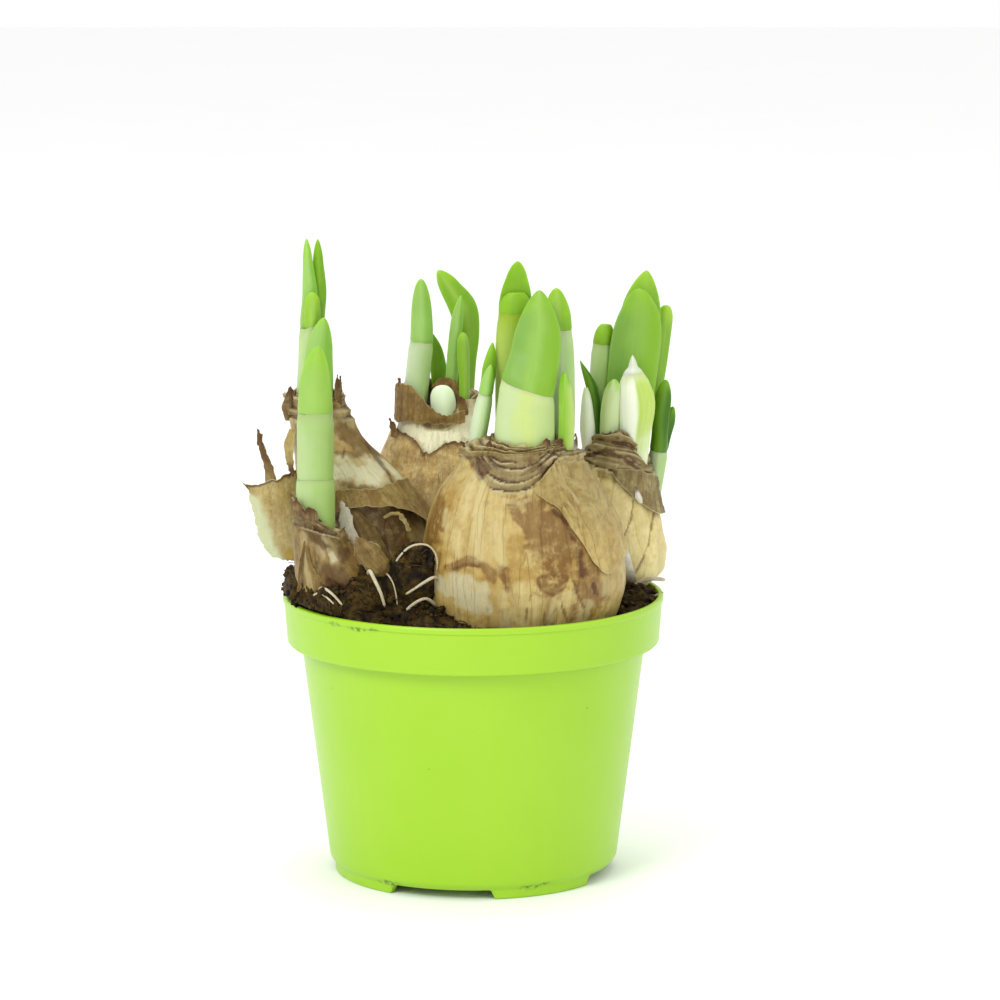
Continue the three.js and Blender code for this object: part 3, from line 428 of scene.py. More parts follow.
def leafMaterial(name, look):
    material, tree, place = startMaterial(name)
    seam, glow, shades = look["seam"], look["glow"], shadesOf(look)
    veins, broad = fibresIn(tree, 1.0), fibresIn(tree, 0.45)
    drift = maths(tree, "SUBTRACT", noiseIn(tree, place, 0.13, 2.0), 0.5)
    across = maths(tree, "MULTIPLY_ADD", drift, 0.9 * seam, readValue(tree, "side"))
    # left and right halves: on most looks painted light and shade, the left half lighter as if lit from the
    # left
    base = blend(tree, window(tree, across, -seam, seam + 0.1), shades["left"], shades["right"])
    along = maths(tree, "MULTIPLY_ADD", drift, 0.35, readValue(tree, "reach"))
    base = blend(tree, window(tree, along, 0.1, 0.5), shades["foot"], base)
    base = blend(tree, window(tree, along, 0.8, 1.06), base, shades["tip"])
    middle = maths(tree, "SUBTRACT", 1.0, window(tree, maths(tree, "ABSOLUTE", across), 0.0, 0.62))
    soft = maths(tree, "MULTIPLY_ADD", broad["Bands"], glow, glow * 0.5)
    margin = window(tree, readValue(tree, "margin"), 0.86, 1.0)
    base = layered(tree, shades, base, (middle, soft, "streak"), (veins["Bands"], 0.3 * glow, "streak"),
                   (veins["Lines"], 0.16, "left"), (veins["Creases"], 0.2, "right"), (margin, 0.3, "streak"))
    roughness = (veins["Height"], 0.12, 0.36)
    finishMaterial(tree, base, roughness, veins["Height"], 0.06, 0.28, (0.4, (0.7, 1.0, 0.25), 1.8))
    return material


leafMaterials = {}
for key, look in leafLooks.items():
    leafMaterials[key] = leafMaterial("leaf " + key, dict(zip(leafParts, look)))
bladeGrid, tongueGrid = (28, 34, 18), (20, 26, 12)  # points round it, rows up its body and its tip


def bladePart(shape, seed, size=bladeGrid):
    sides, bodyRows, tipRows = size
    stations, thick = shape["stations"], shape["thick"]
    cup, facing = shape.get("cup", 0.25), shape.get("facing", 0)
    tipLength, tipPower = shape.get("tip", (8, 0.5))
    length, at = spineOf(stations, facing)
    tipShare = min(tipLength / length, 0.9)
    body = np.linspace(0, 1 - tipShare, bodyRows, endpoint=False)
    end = 1 - tipShare * (1 - np.sin(np.linspace(0, math.pi / 2, tipRows)))
    shares = np.concatenate([body, end])
    t, point, _, normal, side = at(shares)
    fromTip = np.clip((1 - shares) / tipShare, 0, 1)
    roundness = np.maximum((1 - (1 - fromTip) ** 2) ** tipPower, 0.03)[:, None]
    half = smoothAlong([station[3] for station in stations], t)[:, None] * roundness
    across, rise = np.cos(turnsOf(sides))[None, :], np.sin(turnsOf(sides))[None, :]
    offset = across * half
    ridges = 0.04 * np.cos(across * math.pi * 4.5) * roundness
    skin = thick / 2 * (1 - 0.5 * across ** 2) * (0.55 + 0.45 * roundness) + ridges
    wave = 0.16 * lineNoise(shares * length + seed * 17, 7, seed)[:, None] * across ** 2
    depth = -cup * offset ** 2 / np.maximum(half, 1) + wave
    depth = depth + skin * np.sign(rise) * np.abs(rise) ** 0.7
    rings = point[:, None] + side[:, None] * offset[..., None] + normal[:, None] * depth[..., None]
    widest = max(station[3] for station in stations)
    grain = xyz(across * widest + seed * 9.1, rise * 0.4, shares[:, None] * length * 0.035)
    values = {"grain": grain, "reach": shares[:, None], "margin": np.abs(across),
              "side": across * np.sign(side[0, 0])}
    return rings, values


# A sheath: an oval cup with a thin wall that thins out at its slanting rim
sheathSides = 44
sheathRows = 26


def sheathShape(shape):
    stations = shape["stations"]
    length, at = spineOf(stations, shape.get("facing", 0))
    slant = shape.get("slant", 0)
    widths = [station[3] for station in stations]
    depths = [station[4] for station in stations]

    def oval(shares, inset, right, front):  # right and front are shares of the half width and depth
        t, point, _, normal, side = at(shares)
        right = right * (smoothAlong(widths, t)[:, None] - inset)
        front = front * (smoothAlong(depths, t)[:, None] - inset)
        rings = point[:, None] + side[:, None] * right[..., None] + normal[:, None] * front[..., None]
        rings[..., 2] += right * slant * np.asarray(shares)[:, None] ** 2
        return rings

    return length, at, oval


def sheathPart(shape, seed):
    length, _, oval = sheathShape(shape)
    skin = shape.get("skin", 0.75)
    turn = turnsOf(sheathSides)[None, :]
    shares = np.sin(np.linspace(0, math.pi / 2, sheathRows))
    ribs = 0.05 * np.sin(turn * 11 + seed) + 0.04 * np.sin(turn * 17 + 2 * seed)
    thinning = 0.42 * skin * ease(0.9, 1, shares)[:, None]
    outer = oval(shares, thinning - ribs * (1 - shares[:, None] * 0.5), np.cos(turn), np.sin(turn))
    down = np.maximum(shares[::-1], 1.6 / length)
    inner = oval(down, skin - 0.42 * skin * ease(0.9, 1, down)[:, None], np.cos(turn), np.sin(turn))
    rim = 0.12 * np.sin(turn[0] * 2 + seed) + 0.08 * np.sin(turn[0] * 5 + seed)
    outer[-1, :, 2] += rim
    inner[0, :, 2] += rim
    rings = np.concatenate([outer, inner])
    reach = np.concatenate([shares, down])[:, None]
    widest = max(station[3] for station in shape["stations"])
    right, ahead = np.cos(turn), np.sin(turn)
    grain = xyz(right * widest + seed * 7.3, ahead * widest, reach * length * 0.035)
    return rings, {"grain": grain, "reach": reach * 0.96, "margin": ease(0.975, 1, reach), "side": right}


# A leaf fills its share of the sheath that it stands in, and is flush with the sheath's rim.
# Fill says how much of the room it takes to the front, back, left and right.
def seatLeaf(rings, shape, sheath):
    _, at, oval = sheathShape(sheath)
    shares = np.linspace(0, 1, 120)
    heights = at(shares)[1][:, 2]
    middles = rings.mean(axis=1)
    share = np.interp(middles[:, 2], heights, shares)
    above = middles[:, 2] - heights[-1]
    skin = sheath.get("skin", 0.75)
    inset = skin * (1 - 0.42 * ease(0.9, 1, share)) + 0.07 - 0.3 * ease(0, 0.7, above)
    turn = turnsOf(rings.shape[1]) - math.radians(shape.get("facing", 0))
    front, back, left, right = shape.get("fill", (1, 1, 1, 1))
    frontward, rightward = np.sin(turn), np.cos(turn)
    frontward = frontward * np.where(frontward > 0, front, back)
    rightward = rightward * np.where(rightward > 0, right, left)
    seated = oval(share, inset[:, None], rightward[None, :], frontward[None, :])
    rim = np.array([np.interp(heights[-1], middles[:, 2], middles[:, k]) for k in range(3)])
    seated += np.where(above > 0, 1, 0)[:, None, None] * (middles - rim)[:, None]
    weight = 1 - ease(0, shape.get("swell", 11), above)[:, None, None]
    return rings * (1 - weight) + seated * weight


# One dictionary for each leaf and sheath. A station is [x, y, z, half width], with the half
# depth after it on a sheath. Facing 0 looks to the front and 90 to the right.
shoots = dict(
    front_sheath_main=dict(
        look="sheath", slant=-0.3,
        stations=[[17, -23.8, 128, 7.6, 4.6], [16, -24.6, 140, 9.3, 5.7], [16.9, -26, 157.3, 8.3, 5.2]]),
    front_leaf_main=dict(
        look="main", inside="front_sheath_main", thick=2.6, tip=(17, 0.6),
        stations=[[16, -25, 131, 6.8], [16.9, -26, 156, 7.3], [18.7, -26.4, 164, 7.8],
                  [20, -26, 173, 7.4], [20.6, -24.6, 187.4, 5.6]]),
    front_sheath_back_left=dict(
        look="yellowSheath",
        stations=[[14.6, -16, 128, 4.8, 3], [13.3, -15.2, 145, 6.2, 4], [13.2, -15.6, 165, 6.2, 3.9],
                  [13.1, -15.8, 179.3, 5.4, 3.5]]),
    front_leaf_back_left=dict(
        look="deep", fill=(0.05, 1, 1, 1), inside="front_sheath_back_left", thick=1.3, facing=180,
        tip=(14, 0.55),
        stations=[[14, -14.8, 131, 3.2], [13.2, -13.9, 150, 4.2], [13.1, -14.2, 176, 3.8],
                  [13.2, -14.6, 182, 4.6], [14, -15.2, 195.2, 4.4]]),
    front_leaf_back_left_inner=dict(
        look="deep", fill=(1, 0.02, 1, 1), inside="front_sheath_back_left", thick=1, cup=0.1,
        tip=(6, 0.5),
        stations=[[14, -16.6, 131, 2.6], [13.2, -16.8, 165, 3.2], [13.2, -16.8, 178, 3.2],
                  [13.5, -17.2, 185.8, 3.2]]),
    front_sheath_back_right=dict(
        look="mintSheath",
        stations=[[25.4, -17.2, 128, 4.6, 3.2], [26.2, -16.6, 145, 5.5, 3.8],
                  [26.2, -16.6, 160, 5.4, 3.8], [26.2, -16.8, 174.1, 4.7, 3.4]]),
    front_leaf_back_right=dict(
        look="bright", inside="front_sheath_back_right", thick=2, cup=0.15, tip=(11, 0.5),
        stations=[[25.8, -16.9, 131, 3], [26.2, -16.6, 155, 3.9], [26.2, -16.8, 172.6, 3.3],
                  [26.1, -16.8, 177, 4], [25.8, -16.8, 187.1, 3.7]]),
    front_leaf_right=dict(
        look="yellow", thick=2.6, cup=0.35, facing=25, tip=(6, 0.5),
        stations=[[28.4, -23, 128, 2.6], [29.3, -25.4, 145, 2.7], [28.9, -26, 155, 2.3],
                  [28.2, -26.4, 162.1, 1.8]]),
    front_sheath_left=dict(
        look="mintSheath", skin=0.65,
        stations=[[0.4, -19.4, 128, 2.2, 2.8], [1.2, -19.8, 138, 2.5, 3.2], [2.4, -20.2, 146, 2.7, 3.3],
                  [4, -20.6, 154.6, 2.4, 3.1]]),
    front_leaf_left_back=dict(
        look="deep", fill=(0.05, 1, 1, 1), inside="front_sheath_left", thick=0.9, cup=0.15, tip=(10, 0.6),
        stations=[[0.8, -18.8, 131, 1.1], [2.9, -19.5, 148, 1.3], [4.2, -19.7, 155.4, 1.4],
                  [5.2, -19, 162, 2.3], [6.2, -18, 170.4, 1.7]]),
    front_leaf_left_front=dict(
        look="fresh", fill=(1, 0.02, 1, 1), inside="front_sheath_left", thick=0.9, cup=0.15, tip=(7, 0.6),
        stations=[[0.8, -20.3, 131, 1.1], [2.9, -21, 148, 1.3], [4.2, -21.3, 156, 1.5],
                  [5.7, -21.6, 163.9, 1.4]]),
    right_sheath_bud=dict(
        look="budSheath",
        stations=[[50.8, 14, 125, 4, 3], [51.1, 12.6, 136, 4.9, 3.6], [51.6, 12, 147, 5.9, 4],
                  [50.9, 11.8, 152.5, 5, 3.6], [50.4, 11.6, 157, 3.3, 2.7]]),
    right_flower_bud=dict(
        look="white", inside="right_sheath_bud", swell=1.6, thick=3, cup=0, tip=(8, 0.75),
        stations=[[50.9, 13, 129, 1.7], [51.4, 12, 147, 2.6], [50.5, 11.6, 157, 2],
                  [50.2, 11.4, 162.4, 1.8]]),
    right_leaf_front=dict(
        look="pale", thick=2.6, cup=0.35, facing=-20, tip=(6, 0.5),
        stations=[[42.6, 12.6, 126, 2.9], [42.8, 11.2, 143, 3.2], [43.6, 10.8, 149, 3.1],
                  [44.6, 10.4, 154.8, 2.6]]),
    right_leaf_main=dict(
        look="main", thick=2.4, cup=0.2, tip=(15, 0.55),
        stations=[[47.8, 18.4, 127, 6.2], [49.8, 18, 150, 7.8], [51.2, 17.6, 163, 8],
                  [52.4, 17, 173, 7.4], [52.4, 16.4, 182.8, 6.4]]),
    right_sheath_left=dict(
        look="duskSheath",
        stations=[[40.2, 20.8, 126, 2.9, 2.7], [39.9, 22, 145, 3.5, 3], [40.9, 22.4, 164.4, 3.3, 3]]),
    right_leaf_left=dict(
        look="deep", inside="right_sheath_left", thick=1.6, cup=0.15, tip=(6, 0.5),
        stations=[[40.2, 21.2, 129, 1.4], [40.2, 22.2, 152, 1.8], [40.9, 22.4, 163.6, 1.8],
                  [41.4, 22.2, 167, 2.8], [42.2, 22, 170.8, 2.6]]),
    right_leaf_back=dict(
        look="bright", thick=2.2, cup=0.15, tip=(16, 0.65),
        stations=[[49, 22.4, 127, 5.2], [52, 22.6, 160, 6.6], [53.2, 22.2, 175, 6.4],
                  [54.9, 21.4, 188, 5.2]]),
    right_leaf_back_right=dict(
        look="bright", thick=1.8, tip=(5, 0.45), facing=15,
        stations=[[51.6, 25, 126, 2.2], [58, 26.2, 152, 3.1], [60.1, 26.2, 167, 3.1],
                  [61.4, 26, 176.4, 2.7]]),
    right_sheath_slim=dict(
        look="slimSheath", skin=0.62,
        stations=[[37.6, 14.4, 126, 1.8, 1.7], [36.2, 14, 138, 2.4, 2.2], [35.9, 13.8, 146, 1.8, 1.7],
                  [35.6, 13.7, 151.6, 0.9, 0.9]]),
    right_leaf_slim=dict(
        look="dark", thick=1.2, cup=0.2, tip=(12, 0.8),
        stations=[[38.6, 17.6, 126, 1.7], [38.9, 17.4, 140, 1.8], [37.8, 17, 150, 1.8],
                  [33.7, 16.4, 160.2, 1.3]]),
    right_sheath_side=dict(
        look="mintSheath",
        stations=[[57.2, 22.6, 113, 2.1, 3.2], [58, 22.8, 121, 2.6, 3.8], [59, 23, 130, 3.1, 4.1]]),
    right_leaf_side_front=dict(
        look="dark", fill=(1, 0.02, 1, 1), inside="right_sheath_side", thick=1.4, cup=0.2, tip=(7, 0.5),
        stations=[[57.6, 21.3, 117, 1.5], [58.8, 21.4, 131, 2], [59.9, 21.2, 144, 2.8],
                  [61.1, 20.8, 153.2, 2.2]]),
    right_leaf_side_back=dict(
        look="dark", fill=(0.05, 1, 1, 1), inside="right_sheath_side", thick=1.3, cup=0.2, tip=(6, 0.5),
        stations=[[57.7, 24.3, 117, 1.4], [59.6, 25, 130, 1.8], [62, 25.8, 138.5, 2.2],
                  [63.7, 26.2, 143.8, 1.7]]),
    back_sheath=dict(
        look="mintSheath",
        stations=[[-19.2, 31, 138, 3.3, 3], [-18, 30.7, 151, 3.9, 3.3], [-16.6, 30.5, 163.9, 3.9, 3.2]]),
    back_leaf_main=dict(
        look="fresh", inside="back_sheath", thick=1.8, cup=0.12, tip=(12, 0.5),
        stations=[[-19, 31, 140, 1.9], [-17.6, 30.6, 155, 2.4], [-16.7, 30.5, 163, 2.4],
                  [-16.5, 30.5, 168, 3.4], [-16.7, 30.5, 184.2, 3.1]]),
    back_leaf_slim=dict(
        look="fresh", thick=1.6, tip=(9, 0.6),
        stations=[[-8, 33, 138, 1.8], [-6.9, 33, 154, 2], [-5.6, 33, 168, 2], [-4, 33, 178.6, 1.5]]),
    back_leaf_short=dict(
        look="bright", thick=2, cup=0.3, facing=15, tip=(4, 0.45),
        stations=[[-2.9, 29.6, 138, 1.6], [-2.8, 29.2, 150, 1.7], [-3.1, 28.9, 160, 2],
                  [-3.3, 28.7, 167.2, 1.8]]),
    back_leaf_bent=dict(
        look="bright", thick=2, cup=0.15, tip=(5, 0.5),
        stations=[[-3.4, 38.6, 138, 3], [-2.6, 39, 156, 3.4], [-2.1, 39.2, 166, 4],
                  [-3.3, 39, 173.4, 4.5], [-7.2, 38.6, 179.8, 3.5], [-11.4, 38.2, 186, 1.9]]),
    back_leaf_low=dict(
        look="deep", thick=1.6, tip=(9, 0.6),
        stations=[[-10.6, 37.6, 138, 2.6], [-11, 37.4, 152, 2.7], [-12.4, 37.2, 160, 2.6],
                  [-14, 37, 166.6, 1.8]]),
    back_scale_white=dict(
        look="fleshyScale", thick=2.4, cup=0.15, tip=(3.4, 0.4),
        stations=[[-9.7, 28.2, 134, 3.7], [-9.6, 27.4, 144, 4.1], [-10.6, 27.6, 150.4, 3.4]]),
    left_sheath=dict(
        look="greenSheath", slant=0.1,
        stations=[[-49.4, 6, 137, 4.8, 4.4], [-49.9, 5.6, 150, 5.5, 4.9], [-49.7, 5.4, 162, 5.1, 4.6],
                  [-50.4, 5.2, 172.5, 4.1, 4.6]]),
    left_leaf_front=dict(
        look="fresh", thick=1.4, cup=0.25, tip=(10, 0.55),
        stations=[[-48.9, -0.2, 138, 4.6], [-48.6, -0.8, 154, 4.9], [-48, -0.6, 166, 4.2],
                  [-46.5, -0.2, 175.8, 3]]),
    left_leaf_short=dict(
        look="bright", fill=(1, -0.5, 0.75, 0.75), inside="left_sheath", thick=1.1, cup=0.15,
        tip=(4, 0.45),
        stations=[[-49.8, 3.4, 139, 2], [-50, 3.1, 160, 2.2], [-50.2, 3.1, 173, 1.9],
                  [-50.2, 2.9, 178, 2.3], [-50.3, 2.8, 183.4, 2.2]]),
    left_leaf_tall_left=dict(
        look="fresh", fill=(0.4, 1, 1, 0.03), inside="left_sheath", thick=1.1, cup=0.15, tip=(6, 0.6),
        stations=[[-50, 5.2, 139, 2.4], [-50.6, 4.9, 164, 2.5], [-51, 5.1, 182, 2.4],
                  [-51.6, 5.4, 192, 1.6], [-52, 5.8, 199.9, 1.1]]),
    left_leaf_tall_right=dict(
        look="deep", fill=(0.4, 1, 0.03, 1), inside="left_sheath", thick=1.1, cup=0.15, tip=(6, 0.6),
        stations=[[-49, 7, 139, 2.4], [-49, 6.9, 164, 2.3], [-48.4, 7.2, 182, 2.5],
                  [-48.5, 7.6, 192, 1.7], [-48.6, 8, 199.5, 1.1]]),
    small_sheath_outer=dict(
        look="duskSheath",
        stations=[[-47.6, -23.6, 101, 4.4, 3.8], [-48.4, -24, 115, 5.9, 4.7],
                  [-48.5, -24, 128.7, 6.1, 4.8]]),
    small_sheath_inner=dict(
        look="duskSheath",
        stations=[[-47.8, -23.7, 104, 3.3, 2.7], [-48.5, -24, 117, 5, 3.8], [-48.5, -24, 132, 5.6, 4.3],
                  [-48.4, -24.2, 149.4, 5.7, 4.3]]),
    small_leaf_front=dict(
        look="soft", fill=(1, 0.02, 1, 1), inside="small_sheath_inner", thick=1.7, cup=0.16,
        tip=(14, 0.6),
        stations=[[-48, -24.9, 107, 1.9], [-48.5, -25.6, 130, 4.3], [-48.4, -25.6, 150, 4.8],
                  [-48.3, -25.4, 160, 4.8], [-47.2, -25, 170.3, 4]]),
    small_leaf_back=dict(
        look="soft", fill=(0.05, 1, 1, 1), inside="small_sheath_inner", thick=1.5, cup=0.1, facing=180,
        tip=(12, 0.6),
        stations=[[-48, -22.7, 107, 1.9], [-48.5, -22.5, 130, 4.1], [-48.6, -22.6, 150, 4.4],
                  [-48.2, -23, 165, 3.4]]),
)


def slotOf(node):
    if node in ("right_sheath_bud", "right_flower_bud", "back_scale_white"):
        return "white_scale"
    return "sheath" if "_sheath" in node else "leaf"


for seed, (node, shape) in enumerate(shoots.items()):
    if len(shape["stations"][0]) == 5:
        rings, values = sheathPart(shape, seed)
    else:
        rings, values = bladePart(shape, seed)
        if "inside" in shape:
            rings = seatLeaf(rings, shape, shoots[shape["inside"]])
    part = loftPart(rings, values)
    makePiece(node.replace("_", "-"), part, leafMaterials[shape["look"]], slotOf(node), node)
print("leaves and sheaths ready:", len(shoots))


# Bulbs. Their levels are [z, x, y, half width, half depth, slant], from the base plate up.
# Angle 0 looks to the front and 90 to the right. A crown closes the neck round the shoots: its
# heights are listed round it from the front to the right, the back and the left. Rims are the
# heights of old scale edges, which climb by rimDip on the side away from the angle rimFace. A
# notch in the neck is an angle, a width in degrees and a depth. Marks are strokes on the front,
# as ([(x, z), ...], width).
bulbs = dict(
    front=dict(
        levels=[[68, 15, -24, 10, 9, 0], [73, 15, -24, 18, 16, 0], [80, 15, -24, 25.2, 21, 0],
                [88, 15.2, -24, 29.8, 24.8, 0], [98, 15.6, -24, 31.4, 26.2, 0],
                [108, 15.4, -23.8, 30.8, 25.4, 0], [117, 14.7, -23.2, 28.4, 23, 0],
                [125, 14.4, -22.6, 25, 19.6, 0], [132, 14.6, -22, 20, 15, 0.02],
                [137.5, 14.6, -21.6, 17, 12.2, 0.06]],
        rims=[127.2, 129.8, 131.6, 133.6, 135.4], rimDip=32, rimFace=-7,
        crown=dict(
            middle=(16, -24.2), half=(9.9, 6.5), rings=3.4, swirl=0.1, teeth=1.7,
            heights=[139.2, 140.2, 141.4, 142, 141.6, 142, 142.4, 140.6]),
        roots=dict(count=4, spread=13, depth=46),
        marks=dict(
            dark=[([(25, 122), (28.4, 118), (32, 111), (34, 107.6)], 0.4), ([(33, 108), (34, 102)], 0.8),
                  ([(36.6, 99), (38, 96)], 0.5), ([(1, 136), (4, 133)], 1.7),
                  ([(19, 135), (23, 133.4)], 1.6)],
            stain=[([(13, 123.6), (17, 118)], 2), ([(17, 123.6), (25, 117)], 3),
                   ([(16, 124), (20, 121.4)], 1.4), ([(20, 116), (25, 110), (26, 103)], 4.4),
                   ([(26, 120), (32.4, 109), (36, 101), (38, 95)], 3.6),
                   # The wide stain stroke up the left edge, at x about -15, is painted shade that darkens
                   # that edge.
                   ([(-15.6, 94), (-14.6, 110), (-10.6, 122)], 3.4), ([(10, 92), (11, 86)], 1.2),
                   ([(24, 93), (23.4, 86)], 1.6), ([(31, 92), (30, 86)], 1.4),
                   ([(-9, 117), (-9, 115)], 0.7),
                   ([(-7, 104.2), (-1.6, 106.6), (3, 105.4), (5.6, 102)], 1.3),
                   ([(9.6, 105), (10.4, 99)], 1.4), ([(33, 98), (36, 90)], 2),
                   ([(24.4, 98), (24.8, 101)], 3)],
            # The wide amber stroke up the left edge is painted shade as well, darkening that edge.
            amber=[([(-15, 106), (-12.8, 118), (-7, 126)], 4), ([(-13, 102), (-9, 108)], 3),
                   ([(13, 113), (12, 104)], 3), ([(4, 101), (6, 88)], 2.4), ([(17, 104), (31, 104)], 3),
                   ([(36, 108), (41, 100), (38, 90)], 2.4), ([(9, 98), (14, 94)], 2.4),
                   ([(20, 92), (30, 90)], 2.6)],
            pale=[([(2, 128), (3, 112)], 4.6), ([(9, 121), (8.6, 108)], 1.6),
                  ([(-8, 120), (-5, 110)], 1.6), ([(9.4, 124.8), (14, 124.4), (18.6, 125.4)], 0.5),
                  ([(36, 116), (41, 106), (41, 98)], 2.2), ([(14, 98), (14, 90)], 2.4),
                  ([(29, 95), (28, 87)], 1.4), ([(20, 93), (21, 84)], 2.6), ([(35, 92), (32, 85)], 2),
                  ([(8, 96), (10, 84)], 3), ([(22, 90), (30, 96)], 2),
                  ([(-2.8, 136.6), (-5.4, 133), (-11.2, 126.6), (-14.6, 119)], 0.7)],
            white=[([(-9, 99.6), (-6, 96.6)], 2.4), ([(-4.4, 100), (-1, 94.6)], 3.2),
                   ([(2.4, 99), (3.4, 93)], 1.8)],
            groove=[([(20, 102.6), (24.6, 103), (29.4, 102.2), (28.4, 98.6), (24.8, 96.4), (21.2, 98.6),
                      (20, 102.4)], 0.4), ([(-6, 104), (-2, 105.8), (2, 105)], 0.3),
                    ([(31, 101), (34, 92)], 0.24), ([(22, 92), (22.6, 86)], 0.24),
                    ([(27, 95), (29, 88)], 0.24), ([(18, 97), (16, 88)], 0.2)])),
    right=dict(
        levels=[[84.4, 41.6, 14, 6, 6, 0], [87, 42.2, 14.6, 11, 10.6, 0], [93.4, 44.6, 16, 16.2, 15.2, 0],
                [100, 44.2, 17, 17.4, 16.6, 0], [107, 43.4, 17.4, 17.1, 16.4, 0],
                [114, 43, 17.6, 15.8, 15.2, 0], [121, 43.8, 17.8, 13.9, 13.2, 0],
                [127, 45, 18, 11.9, 11.6, -0.1], [134, 45, 18, 10.9, 10.7, -0.16]],
        rims=[124, 126.6, 128.8, 130.8, 132.6], rimDip=2.4, rimFace=85,
        notches=[(88, 46, 6), (-92, 34, 4)],
        crown=dict(
            middle=(46.6, 15.6), half=(8.4, 7.4), rings=1.3, swirl=-0.3, teeth=1,
            heights=[138.8, 133.6, 127.6, 131.5, 136, 137, 134, 137.6]),
        roots=dict(count=3, spread=9, depth=58),
        marks=dict(
            dark=[([(37, 131), (42, 132.6), (48, 129.6), (52, 126.6)], 0.5)],
            stain=[([(40, 125.4), (46, 124), (52, 119)], 1.2)],
            amber=[([(36.6, 125), (38, 118)], 2.2), ([(40, 123), (42, 120)], 1.8),
                   ([(33, 118), (34, 110)], 2)],
            pale=[([(44, 116), (46, 106)], 3.4), ([(53, 110), (51, 98)], 2.8),
                  ([(59.4, 104), (59.8, 94)], 1.4), ([(39, 114), (40, 104)], 2)],
            white=[([(46.8, 101), (48.2, 95)], 0.9)],
            groove=[([(50.4, 117), (49.8, 111), (46.9, 104.7)], 0.2),
                    ([(57, 112), (55.8, 104), (51.2, 94.6)], 0.24)])),
    back=dict(
        levels=[[79, -11, 33, 8, 8, 0], [84, -11, 33, 16, 14, 0], [91, -11, 33, 21.6, 18.2, 0],
                [100, -11, 33, 24.5, 20.2, 0], [110, -11.2, 33, 23.9, 19.6, 0],
                [120, -11.4, 33.4, 20.4, 17, 0], [130, -11.4, 33.8, 16, 13.6, 0],
                [138, -11, 34, 13.3, 11.4, 0], [147, -11, 34, 12.5, 10.5, -0.1]],
        rims=[], rimDip=0, rimFace=0, notches=[(-2, 30, 8)],
        crown=dict(
            middle=(-11.4, 33.4), half=(9.2, 7.4), rings=2, swirl=0.3, teeth=1.8,
            heights=[138, 143, 146.6, 149, 150.4, 151, 150.6, 146]),
        roots=dict(count=3, spread=12, depth=54),
        marks=dict(
            dark=[], stain=[([(-24, 120), (-20, 112)], 3)], amber=[([(-22, 139), (-16, 137)], 0.6)],
            pale=[([(-26, 138), (-14, 137), (0, 139)], 7)],
            white=[([(-24, 138), (-14, 136), (-2, 137)], 4)], groove=[])),
    left=dict(
        levels=[[83, -27, 4, 6, 6, 0], [87, -27.6, 4.2, 11.6, 11, 0], [94, -29, 4.6, 15.6, 14, 0],
                [102, -31, 5, 17.8, 15.8, 0], [110, -33.2, 5, 18.4, 16.2, 0],
                [118, -35.6, 5, 18.4, 16, -0.04], [126, -38.8, 5.2, 17, 14.8, -0.1],
                [133, -42.6, 5.4, 14.4, 12.6, -0.16], [140, -46.6, 5.2, 11, 10.8, -0.14],
                [149.5, -49.4, 5, 9.2, 9.6, -0.06]],
        rims=[144, 147], rimDip=0, rimFace=0,
        crown=dict(
            middle=(-49.6, 4.4), half=(6.6, 6.4), rings=1.6, swirl=0.4, teeth=1.8,
            heights=[150, 150.6, 151.6, 152, 151, 151.6, 151.4, 150.6]),
        roots=dict(count=3, spread=9, depth=56),
        marks=dict(
            # The two wide dark strokes on the next line are painted shadow: the shade in the hollow under the
            # olive skin's lifted lower edge.
            dark=[([(-33.6, 136), (-31, 133), (-25.4, 126), (-21, 118)], 0.35),
                  ([(-38, 115), (-30, 114), (-22, 112)], 3.8), ([(-36, 108), (-24, 106)], 4)],
            stain=[([(-42, 142), (-38, 139), (-35, 136)], 2.6),
                   ([(-43, 134), (-38, 133.4), (-33, 133.8)], 0.8), ([(-40, 124.4), (-30, 124)], 1)],
            amber=[([(-41.6, 135.6), (-39.4, 135)], 1.6), ([(-42, 150), (-41, 146)], 1)],
            pale=[([(-44, 129), (-36, 129.4), (-28, 127.4)], 3.6),
                  ([(-29, 133), (-23, 126), (-18.4, 118)], 1.6), ([(-41.6, 146), (-39, 143)], 1.6)],
            white=[([(-46, 128), (-37, 128.6), (-29, 128)], 3),
                   ([(-28.6, 132.4), (-22.8, 126), (-18.2, 118)], 1)],
            groove=[([(-40.2, 136), (-40.6, 132.4)], 0.2)])),
    small=dict(
        levels=[[80, -37, -23, 5, 5, 0], [84, -37.6, -23.6, 9.4, 8.6, 0], [90, -38.6, -24.4, 12.6, 11, 0],
                [97, -40, -24.8, 14.6, 12.2, -0.08], [104, -42.2, -24.6, 13, 11, -0.3],
                [110, -44.8, -24.2, 10.6, 9, -0.56], [115.5, -46.6, -24, 8.8, 7.8, -0.72]],
        rims=[111.6], rimDip=3, rimFace=60,
        crown=dict(
            middle=(-48.2, -24), half=(7, 5.7), rings=0.8, swirl=0.3, teeth=1.3,
            heights=[117.6, 113.6, 110.8, 113, 117, 121, 123.4, 121.4]),
        roots=dict(count=3, spread=8, depth=50),
        marks=dict(
            dark=[([(-54, 120.6), (-51, 117.6)], 1.5), ([(-44, 99), (-40, 97)], 0.8),
                  ([(-40, 92), (-34, 93)], 1.6)],
            stain=[([(-50, 113), (-44, 110), (-40, 106)], 2), ([(-47, 103), (-40, 100)], 2.4),
                   ([(-44, 96), (-34, 97)], 3)],
            amber=[([(-38.6, 106), (-35, 105)], 1.2)],
            pale=[([(-43.4, 107.4), (-42.6, 105.8)], 1.3), ([(-52, 112), (-51.4, 104), (-50, 94)], 1),
                  ([(-49, 110), (-46, 106.6), (-47, 102)], 0.6), ([(-46, 112), (-42, 109)], 0.6)],
            white=[([(-43.3, 107), (-42.9, 106)], 0.8)], groove=[])),
)
